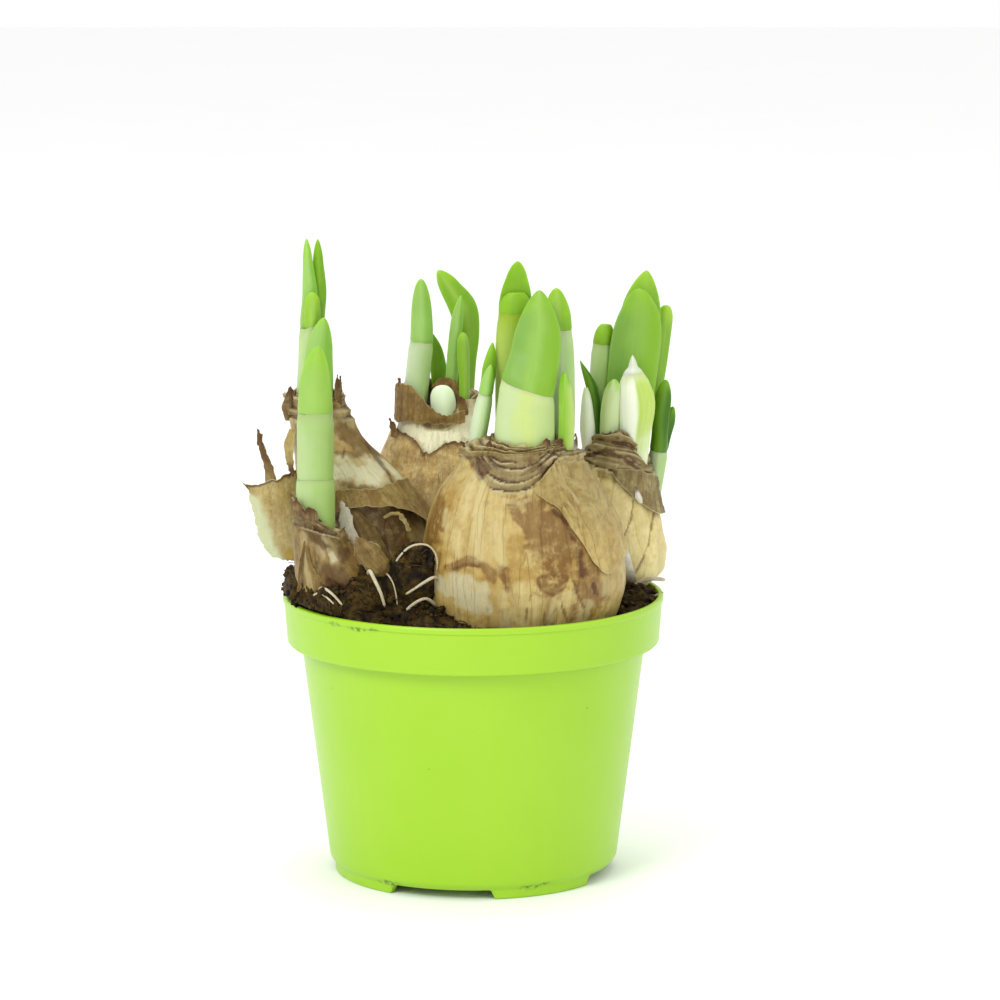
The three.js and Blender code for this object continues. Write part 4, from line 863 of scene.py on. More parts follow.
bulbLooks = dict(
    front=dict(
        skin=(208, 182, 112), light=(236, 218, 152), line=(154, 118, 60), stain=(128, 90, 36),
        amber=(176, 136, 64), collar=(140, 124, 74), blotch=0.45),
    # The right bulb's skin and light colours and the back bulb's pale and white go past white: painted light,
    # brighter than their own colour to make up for the shade that neighbouring bulbs and leaves cast.
    right=dict(
        skin=(256, 240, 164), light=(268, 256, 194), line=(214, 184, 108), stain=(150, 124, 76),
        amber=(212, 172, 96), collar=(148, 128, 84), blotch=0.2),
    back=dict(
        skin=(210, 190, 132), light=(240, 236, 194), line=(150, 116, 66), stain=(132, 100, 54),
        amber=(184, 142, 74), collar=(142, 110, 62), pale=(278, 270, 218), white=(288, 286, 246),
        blotch=0.3),
    left=dict(
        skin=(192, 170, 110), light=(224, 212, 160), line=(134, 104, 56), stain=(124, 94, 46),
        amber=(200, 158, 86), collar=(140, 114, 70), white=(248, 246, 204), blotch=0.5),
    small=dict(
        skin=(146, 124, 72), light=(182, 162, 108), line=(92, 70, 36), stain=(98, 76, 38),
        amber=(160, 120, 56), collar=(108, 90, 54), pale=(206, 190, 142), blotch=0.6),
)
markColours = dict(
    pale=(230, 216, 158),
    white=(218, 210, 170),
    groove=(118, 84, 42),
    # The lip colour is a painted highlight on ring lips and fold crests, and also the colour of random pale
    # patches on a collar. The crevice colour is painted shade in the hollows between rings and folds.
    dark=(98, 66, 32),
    lip=(222, 208, 160),
    creviceShade=(84, 56, 26),
    earth=(84, 64, 36),
)

# How strong each kind of mark is, and the values between which it fades in
markStrengths = {"amber": (0.6, 0.05, 1.0), "stain": (0.8, 0.05, 1.0), "pale": (0.65, 0.05, 1.0),
                 "white": (0.8, 0.2, 0.95), "groove": (0.6, 0.2, 0.9), "lip": (0.75, 0.1, 0.9),
                 "creviceShade": (0.85, 0.1, 0.9), "dark": (0.72, 0.05, 1.0)}
streaky = {"amber": 0.3, "stain": 0.25, "pale": 0.75}  # how much of a mark follows the fibres
bulbGrid = {"front": (240, 150, 44)}  # points round it, up its body and up its crown
plainGrid = (160, 92, 34)


def bulbColumns(levels, share):
    columns = np.array(levels, float).T
    return [smoothAlong(column, share) for column in columns]


def shareAtHeight(levels, height):
    shares = np.linspace(0, 1, 400)
    heights = smoothAlong(np.array(levels, float)[:, 0], shares)
    return np.interp(height, heights, shares)


def bulbPoint(levels, angle, share, lift=0.0):
    z, x, y, width, depth, slant = bulbColumns(levels, share)
    turn = np.radians(angle)
    ribs = 1 + 0.014 * np.sin(3 * turn + x) + 0.008 * np.sin(7 * turn + y)
    right = np.sin(turn) * (width * ribs + lift)
    front = np.cos(turn) * (depth * ribs + lift)
    return xyz(x + right, y - front, z + right * slant)


def grainOn(levels, angle, points):  # fibres run from the base plate to the neck
    size = max(level[3] for level in levels)
    turn = np.radians(angle)
    return xyz(np.sin(turn) * size, np.cos(turn) * size, points[..., 2] * 0.11)


def smoothAround(values, angle):  # values listed round a circle, from the front to the right
    place = (np.asarray(angle, float) % 360) / 360 * len(values)
    low = place.astype(int) % len(values)
    part = place - place.astype(int)
    part = part * part * (3 - 2 * part)
    values = np.asarray(values, float)
    return values[low] * (1 - part) + values[(low + 1) % len(values)] * part


# How strongly strokes, as (x, z) paths with a width, cover the places on a bulb's front
def strokeMask(points, angle, strokes, seed):
    broad = np.stack([layeredNoise(points, 6, seed), layeredNoise(points, 6, seed + 5)], -1)
    fine = np.stack([layeredNoise(points, 1.8, seed + 9), layeredNoise(points, 1.8, seed + 12)], -1)
    vary = 1 + 0.7 * layeredNoise(points, 2.6, seed + 15)
    covered = np.zeros(points.shape[:-1])
    for path, width in strokes:
        loose = min(width, 2)
        flat = points[..., [0, 2]] + broad * (0.25 + 0.7 * loose) + fine * (0.1 + 0.45 * loose)
        path = np.array(path, float)
        for start, end in zip(path[:-1], path[1:]):
            along = end - start
            t = np.clip(((flat - start) @ along) / (along @ along), 0, 1)
            distance = np.linalg.norm(flat - start - t[..., None] * along, axis=-1)
            spread = width * vary
            covered = np.maximum(covered, 1 - ease(0, 1, (distance - spread * 0.3) / (spread * 1.5 + 0.25)))
    return covered * ease(-0.1, 0.2, np.cos(np.radians(angle)))


# Rings of old scale edges round a neck: how far they stand out, the painted shade in their crevices and the
# painted highlight on their lips
def rimRelief(shape, angle, height, points):
    relief, creviceShade, lip = (np.zeros(height.shape) for _ in range(3))
    rims, top = shape["rims"], shape["levels"][-1][0]
    climb = shape["rimDip"] * (1 - np.cos(np.radians(angle - shape["rimFace"])))
    for k, rim in enumerate(rims):
        wobble = 0.5 * layeredNoise(points * (1, 1, 0.3), 6, 40 + k) + 0.2 * softNoise(points, 2.6, 48 + k)
        level = np.minimum(rim + climb * (1 - 0.6 * k / len(rims)), top - 0.8 + 0.3 * k) + wobble
        strength = ease(-0.6, 0.2, softNoise(points, 9, 60 + k)) * 0.7 + 0.3
        below, above = np.maximum(level - height, 0), np.maximum(height - level, 0)
        under = height <= level
        relief += strength * np.where(under, 0.8 * np.exp(-below / 1.3), -0.6 * np.exp(-above / 1))
        creviceShade = np.maximum(creviceShade, strength * np.where(under, 0, np.exp(-above / 0.8)))
        lip = np.maximum(lip, strength * np.where(under, np.exp(-below / 0.7), 0))
    return relief, creviceShade, lip


# Soft creases that run round a collar: level is how far up the collar a point is
def foldNoise(angle, level, seed):
    turn = np.radians(angle)
    return layeredNoise(xyz(np.sin(turn) * 3.4, np.cos(turn) * 3.4, level), 1.9, seed)


# The crown of a neck: stepped rings that close it, from its rim in to the shoots. Where two
# rings meet, and in the troughs of its folds, it gets painted shade; on its crests a painted highlight.
def crownRings(crown, angle, rim, rows, seed):
    share = np.linspace(0, 1, rows + 1)[1:, None]
    turn = np.radians(angle)[None, :]
    middle, half = crown["middle"], crown["half"]
    hug = xyz(middle[0] + np.sin(turn) * half[0], middle[1] - np.cos(turn) * half[1],
              smoothAround(crown["heights"], angle)[None, :])
    mix = share[..., None]
    rings = rim[None] * (1 - mix) + hug * mix
    rings[..., 2] = rim[None, :, 2] + (hug[..., 2] - rim[None, :, 2]) * share ** 0.75
    warp = 0.5 * layeredNoise(rings, 7, seed) + 0.22 * softNoise(rings, 2, seed + 3)
    around = crown["swirl"] * np.sin(turn / 2 + 0.6) ** 2 * 2
    phase = (share * crown["rings"] + (warp + around) * ease(0, 0.25, share)) % 1
    step = np.sin(phase * math.pi) ** 0.8
    inside = ease(0, 0.12, share)
    out = xyz(np.sin(turn), -np.cos(turn), 0.9)
    rings += out * ((step - 0.4) * inside)[..., None] * 0.9
    folds = foldNoise(angle[None, :], share * crown["rings"] * 2.4 + 31, seed + 5)
    rings += out * (0.9 * folds * inside)[..., None]
    teeth = np.maximum(lineNoise(angle / 6, 1, seed) + 0.5 * lineNoise(angle / 2.4, 1, seed + 2), -0.2)
    rings[..., 2] += crown["teeth"] * teeth[None, :] * ease(0.8, 1, share)
    creviceShade = np.maximum(np.exp(-np.minimum(phase, 1 - phase) / 0.12), 0.7 * ease(0.1, 0.7, -folds)) * inside
    lip = np.maximum(np.exp(-np.abs(phase - 0.6) / 0.16), 0.8 * ease(0.1, 0.6, folds)) * inside
    return rings, creviceShade, lip


def bulbPart(shape, size, seed):
    levels, marks, crown = shape["levels"], shape["marks"], shape["crown"]
    sides, bodyRows, crownRows = size
    share = np.linspace(0, 1, bodyRows) ** 0.9
    around = 180 + np.degrees(turnsOf(sides))
    angle, share = np.meshgrid(around, share)
    bare = bulbPoint(levels, angle, share)
    relief, creviceShade, lip = rimRelief(shape, angle, bare[..., 2], bare)
    values = {kind: strokeMask(bare, angle, strokes, seed) for kind, strokes in marks.items()}
    rims = shape["rims"] or [levels[-1][0] - 3]
    climb = shape["rimDip"] * (1 - np.cos(np.radians(angle - shape["rimFace"])))
    level = np.minimum(rims[0] + climb, levels[-1][0] - 1.5)
    values["earth"] = 1 - ease(0, 6, bare[..., 2] - 83.6 + 2.5 * layeredNoise(bare, 7, seed + 2))
    values["collar"] = ease(-0.8, 0.6, bare[..., 2] - level + 0.9 * layeredNoise(bare, 4, seed + 1))
    folds = foldNoise(angle, bare[..., 2] - climb, seed + 5)
    relief = relief + 1.1 * folds * values["collar"]
    # painted shade in the troughs of the collar's folds and a painted highlight on their crests
    values["creviceShade"] = np.maximum(creviceShade, values["collar"] * 0.7 * ease(0.1, 0.7, -folds))
    values["lip"] = np.maximum(lip, values["collar"] * 0.6 * ease(0.2, 0.7, folds))
    lumps = 0.5 * layeredNoise(bare * (1, 1, 0.5), 11, seed) + 0.2 * layeredNoise(bare, 3.2, seed + 3)
    notch = 0
    for at, wide, deep in shape.get("notches", []):
        notch = notch + deep * np.exp(-(((angle - at + 180) % 360 - 180) / wide) ** 4)
    wrinkles = 0.17 * layeredNoise(grainOn(levels, angle, bare), 1.7, seed + 8) * (1 + values["collar"])
    hollows = 0.4 * values["dark"] + 0.3 * values["white"] + 0.3 * values["groove"]
    outer = bulbPoint(levels, angle, share, lumps + wrinkles + relief - hollows)
    outer[..., 2] -= notch * ease(levels[-3][0] + 4, levels[-1][0], outer[..., 2])
    rings, creviceShade, lip = crownRings(crown, around, outer[-1], crownRows, seed)
    down = np.linspace(0, 1, 8)[1:, None]
    top = rings[-1]
    middle = np.array([*crown["middle"], 0.0])
    inner = top[None] + (middle - top * (1, 1, 0))[None] * 0.07 * np.minimum(down * 3, 1)[..., None]
    inner = inner - down[..., None] * np.array([0, 0, 6.0])
    blank = [np.zeros(more.shape[:2]) for more in (rings, inner)]
    # down inside the neck the painted shade grows darker towards the bottom
    above = {"creviceShade": [creviceShade, blank[1] + 0.5 + 0.5 * down], "lip": [lip, blank[1]],
             "collar": [blank[0] + 1, blank[1] + 1]}
    values = {key: np.concatenate([value, *above.get(key, blank)]) for key, value in values.items()}
    grain = [grainOn(levels, around, more * (1, 1, 6)) for more in (rings, inner)]
    values["grain"] = np.concatenate([grainOn(levels, angle, bare), *grain])
    return loftPart(np.concatenate([outer, rings, inner]), values)


def bulbMaterial(name, look):
    material, tree, place = startMaterial(name)
    shades = shadesOf({**markColours, **look})
    streaks, broad = fibresIn(tree, 0.9), fibresIn(tree, 0.4)
    patches = blotchesIn(tree, place, 13.0, look["blotch"], 0.26)
    small = blotchesIn(tree, place, 2.4, 0.42, 0.1)
    mottles = blotchesIn(tree, place, 5.5, 0.5, 0.3)
    dots = specksIn(tree, place, 4.5, 0.05, 0.4)
    collar = readValue(tree, "collar")
    base = layered(
        tree, shades, shades["skin"], (broad["Bands"], 0.55, "light"), (mottles["Mask"], 0.4, "light"),
        (streaks["Bands"], 0.22, "light"), (patches["Mask"], 0.5, "amber"), (small["Mask"], 0.3, "line"),
        (streaks["Lines"], 0.28, "line"), (broad["Creases"], 0.4, "line"), (collar, 0.85, "collar"),
        (maths(tree, "MULTIPLY", collar, small["Mask"]), 0.5, "stain"),
        (maths(tree, "MULTIPLY", collar, mottles["Mask"]), 0.25, "lip"))
    fine = maths(tree, "SUBTRACT", small["Height"], 0.5)
    ragged = maths(tree, "MULTIPLY_ADD", maths(tree, "SUBTRACT", patches["Height"], 0.5), 0.8, fine)
    uneven = maths(tree, "MULTIPLY_ADD", ragged, 2.2, 1.0)
    for kind, (strength, low, high) in markStrengths.items():
        mask = window(tree, maths(tree, "MULTIPLY", readValue(tree, kind), uneven), low, high)
        if kind in streaky:
            along = maths(tree, "MULTIPLY_ADD", streaks["Bands"], streaky[kind], 1 - streaky[kind])
            mask = maths(tree, "MULTIPLY", mask, along)
        base = layered(tree, shades, base, (mask, strength, kind))
        if kind == "white":  # the peeled patches are the ones with the plainest fibres
            threads = maths(tree, "MULTIPLY", mask, streaks["Lines"])
            base = layered(tree, shades, base, (threads, 0.4, "line"))
    earth = window(tree, maths(tree, "MULTIPLY_ADD", ragged, 1.4, readValue(tree, "earth")), 0.4, 1.2)
    base = layered(tree, shades, base, (dots["Mask"], 0.5, "stain"), (earth, 0.6, "earth"))
    height = maths(tree, "MULTIPLY", small["Height"], 0.5)
    height = maths(tree, "MULTIPLY_ADD", streaks["Height"], 0.7, height)
    height = maths(tree, "MULTIPLY_ADD", broad["Creases"], -0.35, height)
    roughness = (small["Height"], 0.35, 0.26)
    finishMaterial(tree, base, roughness, height, 0.38, 0.32, (0.1, (1.0, 0.8, 0.5), 1.0))
    return material


bulbSeeds = {side: 20 + k for k, side in enumerate(bulbs)}
for side, shape in bulbs.items():
    material = bulbMaterial("bulb " + side, bulbLooks[side])
    part = bulbPart(shape, bulbGrid.get(side, plainGrid), bulbSeeds[side])
    makePiece("bulb-" + side, part, material, "bulb", "bulb_" + side)
print("bulbs ready")


# Papery skins. The lower and upper edges of a patch are heights listed round the bulb, and its
# lift off the bulb is listed from its lower edge up. Ragged is how far its edges are torn. The
# colours of a look are its skin, its light bands, its dark lines and its torn edges.
skinParts = ("skin", "light", "line", "torn")
skinLooks = {
    "brown": ((156, 126, 72), (204, 178, 116), (100, 74, 38), (214, 194, 142)),
    "window": ((246, 214, 142), (254, 234, 176), (134, 98, 50), (104, 74, 38)),
    "olive": ((168, 142, 82), (202, 182, 122), (112, 86, 44), (222, 208, 156)),
    "khaki": ((198, 178, 114), (222, 212, 160), (156, 128, 74), (232, 228, 188)),
    "dusk": ((158, 140, 88), (212, 200, 152), (108, 86, 46), (236, 226, 186)),
    "cream": ((250, 248, 230), (255, 255, 246), (206, 194, 150), (255, 255, 250)),
    "scale": ((142, 118, 66), (190, 168, 112), (88, 66, 34), (222, 206, 156)),
    "neck": ((144, 118, 74), (196, 172, 122), (72, 52, 28), (212, 194, 146)),
}
skinZones = {"fresh": (220, 230, 186), "gold": (196, 168, 84), "burnt": (100, 72, 34)}
skinGrid = 0.54  # millimetres between the points of a skin


def skinMaterial(name, look):
    material, tree, place = startMaterial(name)
    shades = shadesOf({**skinZones, **look})
    streaks = fibresIn(tree, 1.2)
    patches = blotchesIn(tree, place, 6.0, 0.5, 0.1)
    small = blotchesIn(tree, place, 1.6, 0.5, 0.05)
    base = layered(tree, shades, shades["skin"], (streaks["Bands"], 0.55, "light"),
                   (streaks["Lines"], 0.4, "line"), (streaks["Creases"], 0.5, "line"),
                   (patches["Mask"], 0.4, "line"), (small["Mask"], 0.25, "line"))
    ragged = maths(tree, "SUBTRACT", patches["Height"], 0.5)
    for zone in skinZones:
        value = maths(tree, "MULTIPLY_ADD", ragged, 0.9, readValue(tree, zone))
        base = layered(tree, shades, base, (window(tree, value, 0.2, 0.9), 0.85, zone))
    rim = maths(tree, "MULTIPLY_ADD", small["Height"], 0.5, readValue(tree, "rim"))
    base = layered(tree, shades, base, (window(tree, rim, 0.9, 1.3), 0.8, "torn"))
    height = maths(tree, "MULTIPLY_ADD", streaks["Height"], 0.8, small["Height"])
    roughness = (small["Height"], 0.3, 0.5)
    finishMaterial(tree, base, roughness, height, 0.25, 0.3, (0.2, (1.0, 0.7, 0.35), 0.8))
    return material


skinMaterials = {"bulb": bulbMaterial("skin of the front bulb", bulbLooks["front"])}
for key, look in skinLooks.items():
    skinMaterials[key] = skinMaterial("skin " + key, dict(zip(skinParts, look)))


def tornEdge(places, depth, seed):  # how far a torn edge falls back, always 0 or more
    broad = np.abs(lineNoise(places, 3.2, seed))
    fine = np.abs(lineNoise(places, 0.9, seed + 4))
    return depth * (0.75 * broad + 0.45 * fine)


def rimValue(grid):  # 1 on the edges of a sheet, falling to 0 inside it
    return np.exp(-fromEdge(grid) / 1.6)


def patchPart(shape, seed):
    levels = bulbs[shape["on"]]["levels"]
    turned = shape["end"] - shape["start"]
    width = abs(turned) * math.pi / 180 * levels[len(levels) // 2][3]
    columns = max(int(width / skinGrid), 24)
    tall = max(shape["upper"]) - min(shape["lower"])
    rows = max(int(tall / skinGrid), 14)
    around = np.linspace(0, 1, columns)
    ragged = shape.get("ragged", 1.2)
    low = smoothAlong(shape["lower"], around) + tornEdge(around * width, ragged, seed)
    high = smoothAlong(shape["upper"], around) - tornEdge(around * width, ragged, seed + 9)
    rise = np.linspace(0, 1, rows)[:, None]
    sideways = tornEdge(rise[:, 0] * tall, ragged, seed + 17)[:, None] / width
    middle = around[None, :] * (1 - 2 * sideways) + sideways
    angle = shape["start"] + turned * middle
    height = low + (high - low) * rise
    share = shareAtHeight(levels, np.clip(height, levels[0][0], levels[-1][0]))
    lift = smoothAlong(shape["lift"], rise) + 0 * angle
    beside = np.minimum(middle, 1 - middle) * width
    lift = lift * ease(-0.01, shape.get("tuck", 0), beside)
    bare = bulbPoint(levels, angle, share)
    crumple = shape.get("crumple", 0.35)
    edge = np.minimum(rise, 1 - rise) * tall
    curl = shape.get("curl", 0.5) * np.exp(-edge / 1.4)
    lift = lift + crumple * layeredNoise(bare * (1, 1, 0.7), 4.5, seed + 3) + curl
    spacing, deep = shape.get("pleats", (5, 0))  # folds that run along the lower edge
    pleat = np.sin(((height - low) / spacing + 0.9 * layeredNoise(bare, 12, seed + 6)) * 2 * math.pi)
    pleat = pleat * ease(-0.5, 0.5, layeredNoise(bare, 5, seed + 8))
    lift = lift + deep * pleat * ease(0, 2.5, edge) * ease(0, 3, beside)
    over = np.maximum(height - levels[-1][0], 0)
    lumps = 0.5 * layeredNoise(bare * (1, 1, 0.5), 11, bulbSeeds[shape["on"]])
    grid = bulbPoint(levels, angle, share, np.maximum(lift, 0.05) + lumps + 0.3)
    grid[..., 2] += over
    rim = rimValue(grid)
    if shape["look"] == "bulb":
        # a skin like the bulb's gets a painted highlight on its pleats' crests, the same light colour on its
        # torn edge, and painted shade in its pleats' troughs
        near = ease(108, 129, height)
        values = {"collar": 0.5 * near, "lip": np.maximum(0.5 * near * ease(0.2, 1, pleat), 0.5 * rim),
                  "creviceShade": 0.22 * near * ease(0.3, 1, -pleat)}
    else:
        band = 0.8 * (1 - ease(0, 1, (1 - rise) * tall / shape.get("band", 0.01)))
        values = {"rim": rim, "burnt": band + 0 * angle}
    return sheetPart(grid, shape.get("thick", 0.34), {"grain": grainOn(levels, angle, grid), **values})


skins = dict(
    skin_front_shoulder=dict(
        on="front", look="bulb", start=8, end=126, ragged=1.2, crumple=0.5, curl=0.2, thick=0.2, tuck=7,
        pleats=(7, 0.55),
        lower=[126.8, 125, 122, 113.5, 105, 101.6, 102, 103.4, 104.6, 105, 106, 108, 110, 113],
        upper=[129, 131, 134, 135.6, 135.6, 135.4, 135, 134.6, 134, 133.4, 132.6, 131.8, 130.4, 128],
        lift=[0.3, 0.4, 0.5, 0.6, 0.7]),
    skin_right_flap=dict(
        on="right", look="dusk", start=-5, end=95, ragged=0.9, crumple=0.6, tuck=2, pleats=(4, 0.35),
        lower=[125.4, 121.4, 117.4, 114.2, 111.8, 111.4, 113],
        upper=[127, 127.4, 127.4, 126.6, 125.4, 124, 122], lift=[0.9, 1, 0.9, 0.7, 0.5]),
    skin_back_neck=dict(
        on="back", look="brown", start=-150, end=36, ragged=1.4, crumple=0.6,
        lower=[138, 139, 139, 138, 138.6, 138.8, 138.4, 138.6],
        upper=[145, 147, 147, 150, 150.4, 146, 142, 144], lift=[0.8, 0.9, 1.1, 1.2, 1]),
    skin_back_body=dict(
        on="back", look="window", start=-100, end=60, ragged=1.6, band=4.2,
        lower=[112, 108, 106, 105, 106, 108, 110, 112],
        upper=[137, 138, 136.5, 135, 130.4, 134, 133.5, 134], lift=[0.75, 0.75, 0.85, 0.95, 1.2]),
    skin_left_lower=dict(
        on="left", look="olive", start=-24, end=92, ragged=1.2,
        lower=[115, 117.6, 118.4, 118, 116.6, 113, 109, 109],
        upper=[122, 123.4, 124, 124.6, 126, 127, 127, 126], lift=[2.8, 2, 1.4, 1, 0.85]),
)
for seed, (node, shape) in enumerate(skins.items()):
    part = patchPart(shape, 50 + seed * 3)
    makePiece(node.replace("_", "-"), part, skinMaterials[shape["look"]], "papery_skin", node)


def tonguePart(shape, seed):  # a torn tongue of dry skin, with the values that skins have
    rings, values = bladePart(shape, seed, tongueGrid)
    reach, margin = values["reach"], values["margin"]
    rim = 0.9 * ease(0.72, 1, margin)
    torn = layeredNoise(rings, 1.4, seed) * (0.3 + 0.7 * ease(0.4, 1, reach))
    rings = rings + (shape.get("ragged", 1) * torn * margin)[..., None] * (1, 0.4, 0.9)
    rings = rings + 0.35 * layeredNoise(rings, 3.5, seed + 4)[..., None] * (0.3, 1, 0)
    burnt = shape.get("burnt", 0.9) * ease(shape.get("burntFrom", 0.35), 0.95, reach)
    return loftPart(rings, {"grain": values["grain"], "rim": rim, "burnt": burnt, "fresh": 0, "gold": 0})


# Torn ends and strips of dry skin on the bulbs. A piece is where it faces, its stations as
# [x, y, z, half width], and values of its own.
scrapShape = {"thick": 0.36, "cup": 0.35, "tip": (2.4, 0.6)}
scraps = dict(
    front=dict(
        look="neck",
        pieces=[(25, [[26, -27.6, 133, 3.4], [26.4, -28, 138, 2.8], [27.4, -27.4, 142, 1.4]]),
                (12, [[22, -31, 136, 2.2], [22.6, -31, 139.6, 1.8], [23, -30.4, 142.6, 0.8]]),
                (-50, [[-2, -24, 133, 2.4], [-2.4, -23.8, 137, 1.8], [-2.8, -23, 140, 0.8]]),
                (-20, [[6, -30, 134, 2.2], [5, -29.6, 138, 1.6], [5.4, -28.8, 141.6, 0.6]]),
                (100, [[31, -14, 134, 3], [32.4, -14.4, 138, 2.2], [32, -14.4, 141.6, 0.8]]),
                (180, [[18, -8.4, 134, 4], [17, -8.8, 139, 3], [16, -9.6, 143, 1]]),
                (220, [[3, -11, 134, 3], [2, -12, 139, 2], [2.6, -13, 142, 0.8]])]),
    frontWhite=dict(
        look="cream",
        pieces=[(50,
                 [[34.6, -24.8, 126, 0.9], [33.4, -24.6, 132, 1.7], [31.6, -23, 138, 1.9],
                  [30.4, -21.4, 143, 1.2]])]),
    right=dict(
        look="neck",
        pieces=[(-40, [[37, 10.4, 128.6, 1.6], [37, 10, 131, 1.2], [36.6, 9.8, 133, 0.5]]),
                (180, [[44, 28, 130, 3.2], [44, 28, 134, 2.2], [43, 27.4, 136.6, 0.8]])]),
    rightWhite=dict(
        look="cream",
        pieces=[(30, [[53, 3.1, 116.4, 0.5], [52, 2.9, 119, 1.1], [51, 3.1, 121.6, 0.7]]),
                (20,
                 [[46.8, 0.9, 104.4, 0.7], [48.4, -0.1, 99, 1.8], [49.4, 0.6, 93, 2.7],
                  [49.6, 2.2, 89, 2.6]])]),
    back=dict(
        look="brown",
        pieces=[(0, [[-8.4, 30.3, 140, 4.6], [-8.6, 30.5, 147, 4.8], [-9.8, 30.7, 152.6, 3.4]],
                 dict(cup=0.1, burnt=0.4)),
                (40, [[-2.6, 25.4, 141, 2.4], [-3, 25, 144.6, 2], [-4.6, 25.2, 147.4, 0.8]]),
                (-50, [[-22.8, 29.4, 145, 2.4], [-23.6, 29, 149, 1.8], [-24, 29, 152.6, 0.6]]),
                (180, [[-12, 44.8, 143, 4], [-11, 45, 148, 3], [-10, 44, 152, 1]]),
                (-45, [[-25.6, 25.6, 134, 1.6], [-26, 25.4, 137.6, 1.2], [-26.6, 25.2, 140.4, 0.5]])]),
    left=dict(
        look="neck",
        pieces=[(-15, [[-57, 0.6, 145, 1.5], [-57.6, -0.4, 149.6, 1.4], [-56.8, -0.6, 154.4, 0.7]]),
                (-20, [[-58, 1.6, 143, 1.2], [-58.8, 1, 147, 1.2], [-58.6, 0.8, 151.4, 0.5]]),
                (50, [[-41.4, 1.6, 147, 1.6], [-41.8, 0.4, 152, 1.5], [-42.6, 0, 157.6, 0.8]]),
                (100, [[-41, 8, 148, 2.4], [-41.4, 8, 153, 1.8], [-42, 8, 156, 0.7]]),
                (180, [[-49, 14, 147, 4], [-50, 14, 152, 3], [-51, 13.4, 155.6, 1]])]),
    leftGold=dict(
        look="khaki",
        pieces=[(-40,
                 [[-56.8, -3.4, 141, 1.4], [-58, -4.6, 136, 1.9], [-57.4, -5, 130.6, 1.6],
                  [-56.4, -4.6, 126, 0.6]])]),
    small=dict(
        look="neck",
        pieces=[(-35, [[-53.4, -28.6, 116, 2.4], [-54, -29.2, 120, 2], [-54, -29.4, 123.8, 0.9]]),
                (-8, [[-49.6, -31.6, 114, 2.6], [-49.8, -31.8, 118, 2.2], [-50.4, -31.6, 121.4, 0.9]]),
                (-85, [[-55.4, -24, 117, 2], [-56, -24, 121, 1.6], [-56.2, -24, 124, 0.6]]),
                (180, [[-48, -15.6, 116, 3.4], [-48.6, -15.4, 120, 2.4], [-49, -16, 123, 0.8]]),
                (25, [[-40.6, -30.4, 109, 2], [-40, -30.4, 112, 1.6], [-39.6, -30, 114.6, 0.7]])]),
    smallStrips=dict(
        look="scale", cup=0.1, burnt=0,
        pieces=[(-35,
                 [[-51.4, -31.6, 110.6, 0.5], [-52.6, -32.4, 105, 0.6], [-53.2, -32.2, 100, 0.6],
                  [-53.6, -31.4, 95, 1.3]]),
                (-15,
                 [[-51, -33, 109.4, 0.5], [-50.2, -35, 105, 0.6], [-48.4, -36.2, 100.6, 0.6],
                  [-46.6, -36.6, 96, 0.4]])]),
    smallScale=dict(
        look="scale", cup=0.3, tip=(6, 0.7), burnt=0.2,
        pieces=[(24,
                 [[-24.6, -33, 100, 1.2], [-27.6, -37, 103, 3.2], [-31.6, -37, 107.6, 4],
                  [-35.6, -34, 112.4, 2.4]])]),
    void=dict(
        look="khaki", cup=0.1, burnt=0,
        pieces=[(10,
                 [[-27.8, -12.8, 114.6, 0.4], [-25.4, -13.4, 115.8, 0.6], [-22.8, -13.4, 115.8, 0.6],
                  [-20.4, -12.8, 113.4, 0.3]]),
                (15, [[-23.6, -12.6, 116.4, 0.4], [-21.4, -13.4, 113.6, 0.7], [-19.6, -13.8, 110, 0.5]])]),
)
for seed, (name, group) in enumerate(scraps.items()):
    parts = []
    for k, (facing, stations, *own) in enumerate(group["pieces"]):
        shape = {**scrapShape, **group, "facing": facing, "stations": stations}
        for more in own:
            shape.update(more)
        parts.append(tonguePart(shape, 100 + seed * 9 + k))
    makePiece("torn-skin-" + name, joinParts(parts), skinMaterials[group["look"]], "papery_skin")


# The left bulb's open outer skin: its right edge lies on the bulb and its left edge stands free
leftFlap = dict(
    look="khaki",
    crumple=0.7,
    ragged=1.6,
    wide=18,
    tall=26,
    grid=(76, 68),
    rows=[[[-46.8, -1.7, 99.6], [-52.6, -7, 99.6], [-58.6, -7.2, 99.8], [-63, -5.4, 100.2]],
          [[-49.4, -1.8, 106], [-55, -6.8, 105.6], [-61.6, -6.4, 105.4], [-67.4, -3, 105.8]],
          [[-51.8, -1.9, 113.6], [-57.2, -6, 112.6], [-63.6, -5.4, 112], [-69, -2, 112.2]],
          [[-54, -1.6, 121.6], [-59.4, -5.2, 119.6], [-65.6, -4.2, 118.6], [-70.6, -0.8, 118.8]],
          [[-55.7, -1, 128.4], [-60.8, -4.2, 126.4], [-66.8, -2.6, 123.6], [-72, 0, 123.8]]],
    curl=dict(
        stations=[[-63.4, -3.8, 122, 2.4], [-64.6, -3, 129, 1.7], [-66.6, -1.4, 135, 1.1],
                  [-67.7, -0.4, 140.8, 0.8]],
        thick=0.5, cup=0.5, facing=-30, tip=(3, 0.5), burnt=1.1, burntFrom=-0.6),
)


def gridThrough(rows, across, up):  # a smooth surface through rows of points
    rows = np.array(rows, float)
    lines = np.stack([curvePoints(row, across) for row in rows])
    return np.stack([curvePoints(lines[:, k], up) for k in range(len(across))], axis=1)


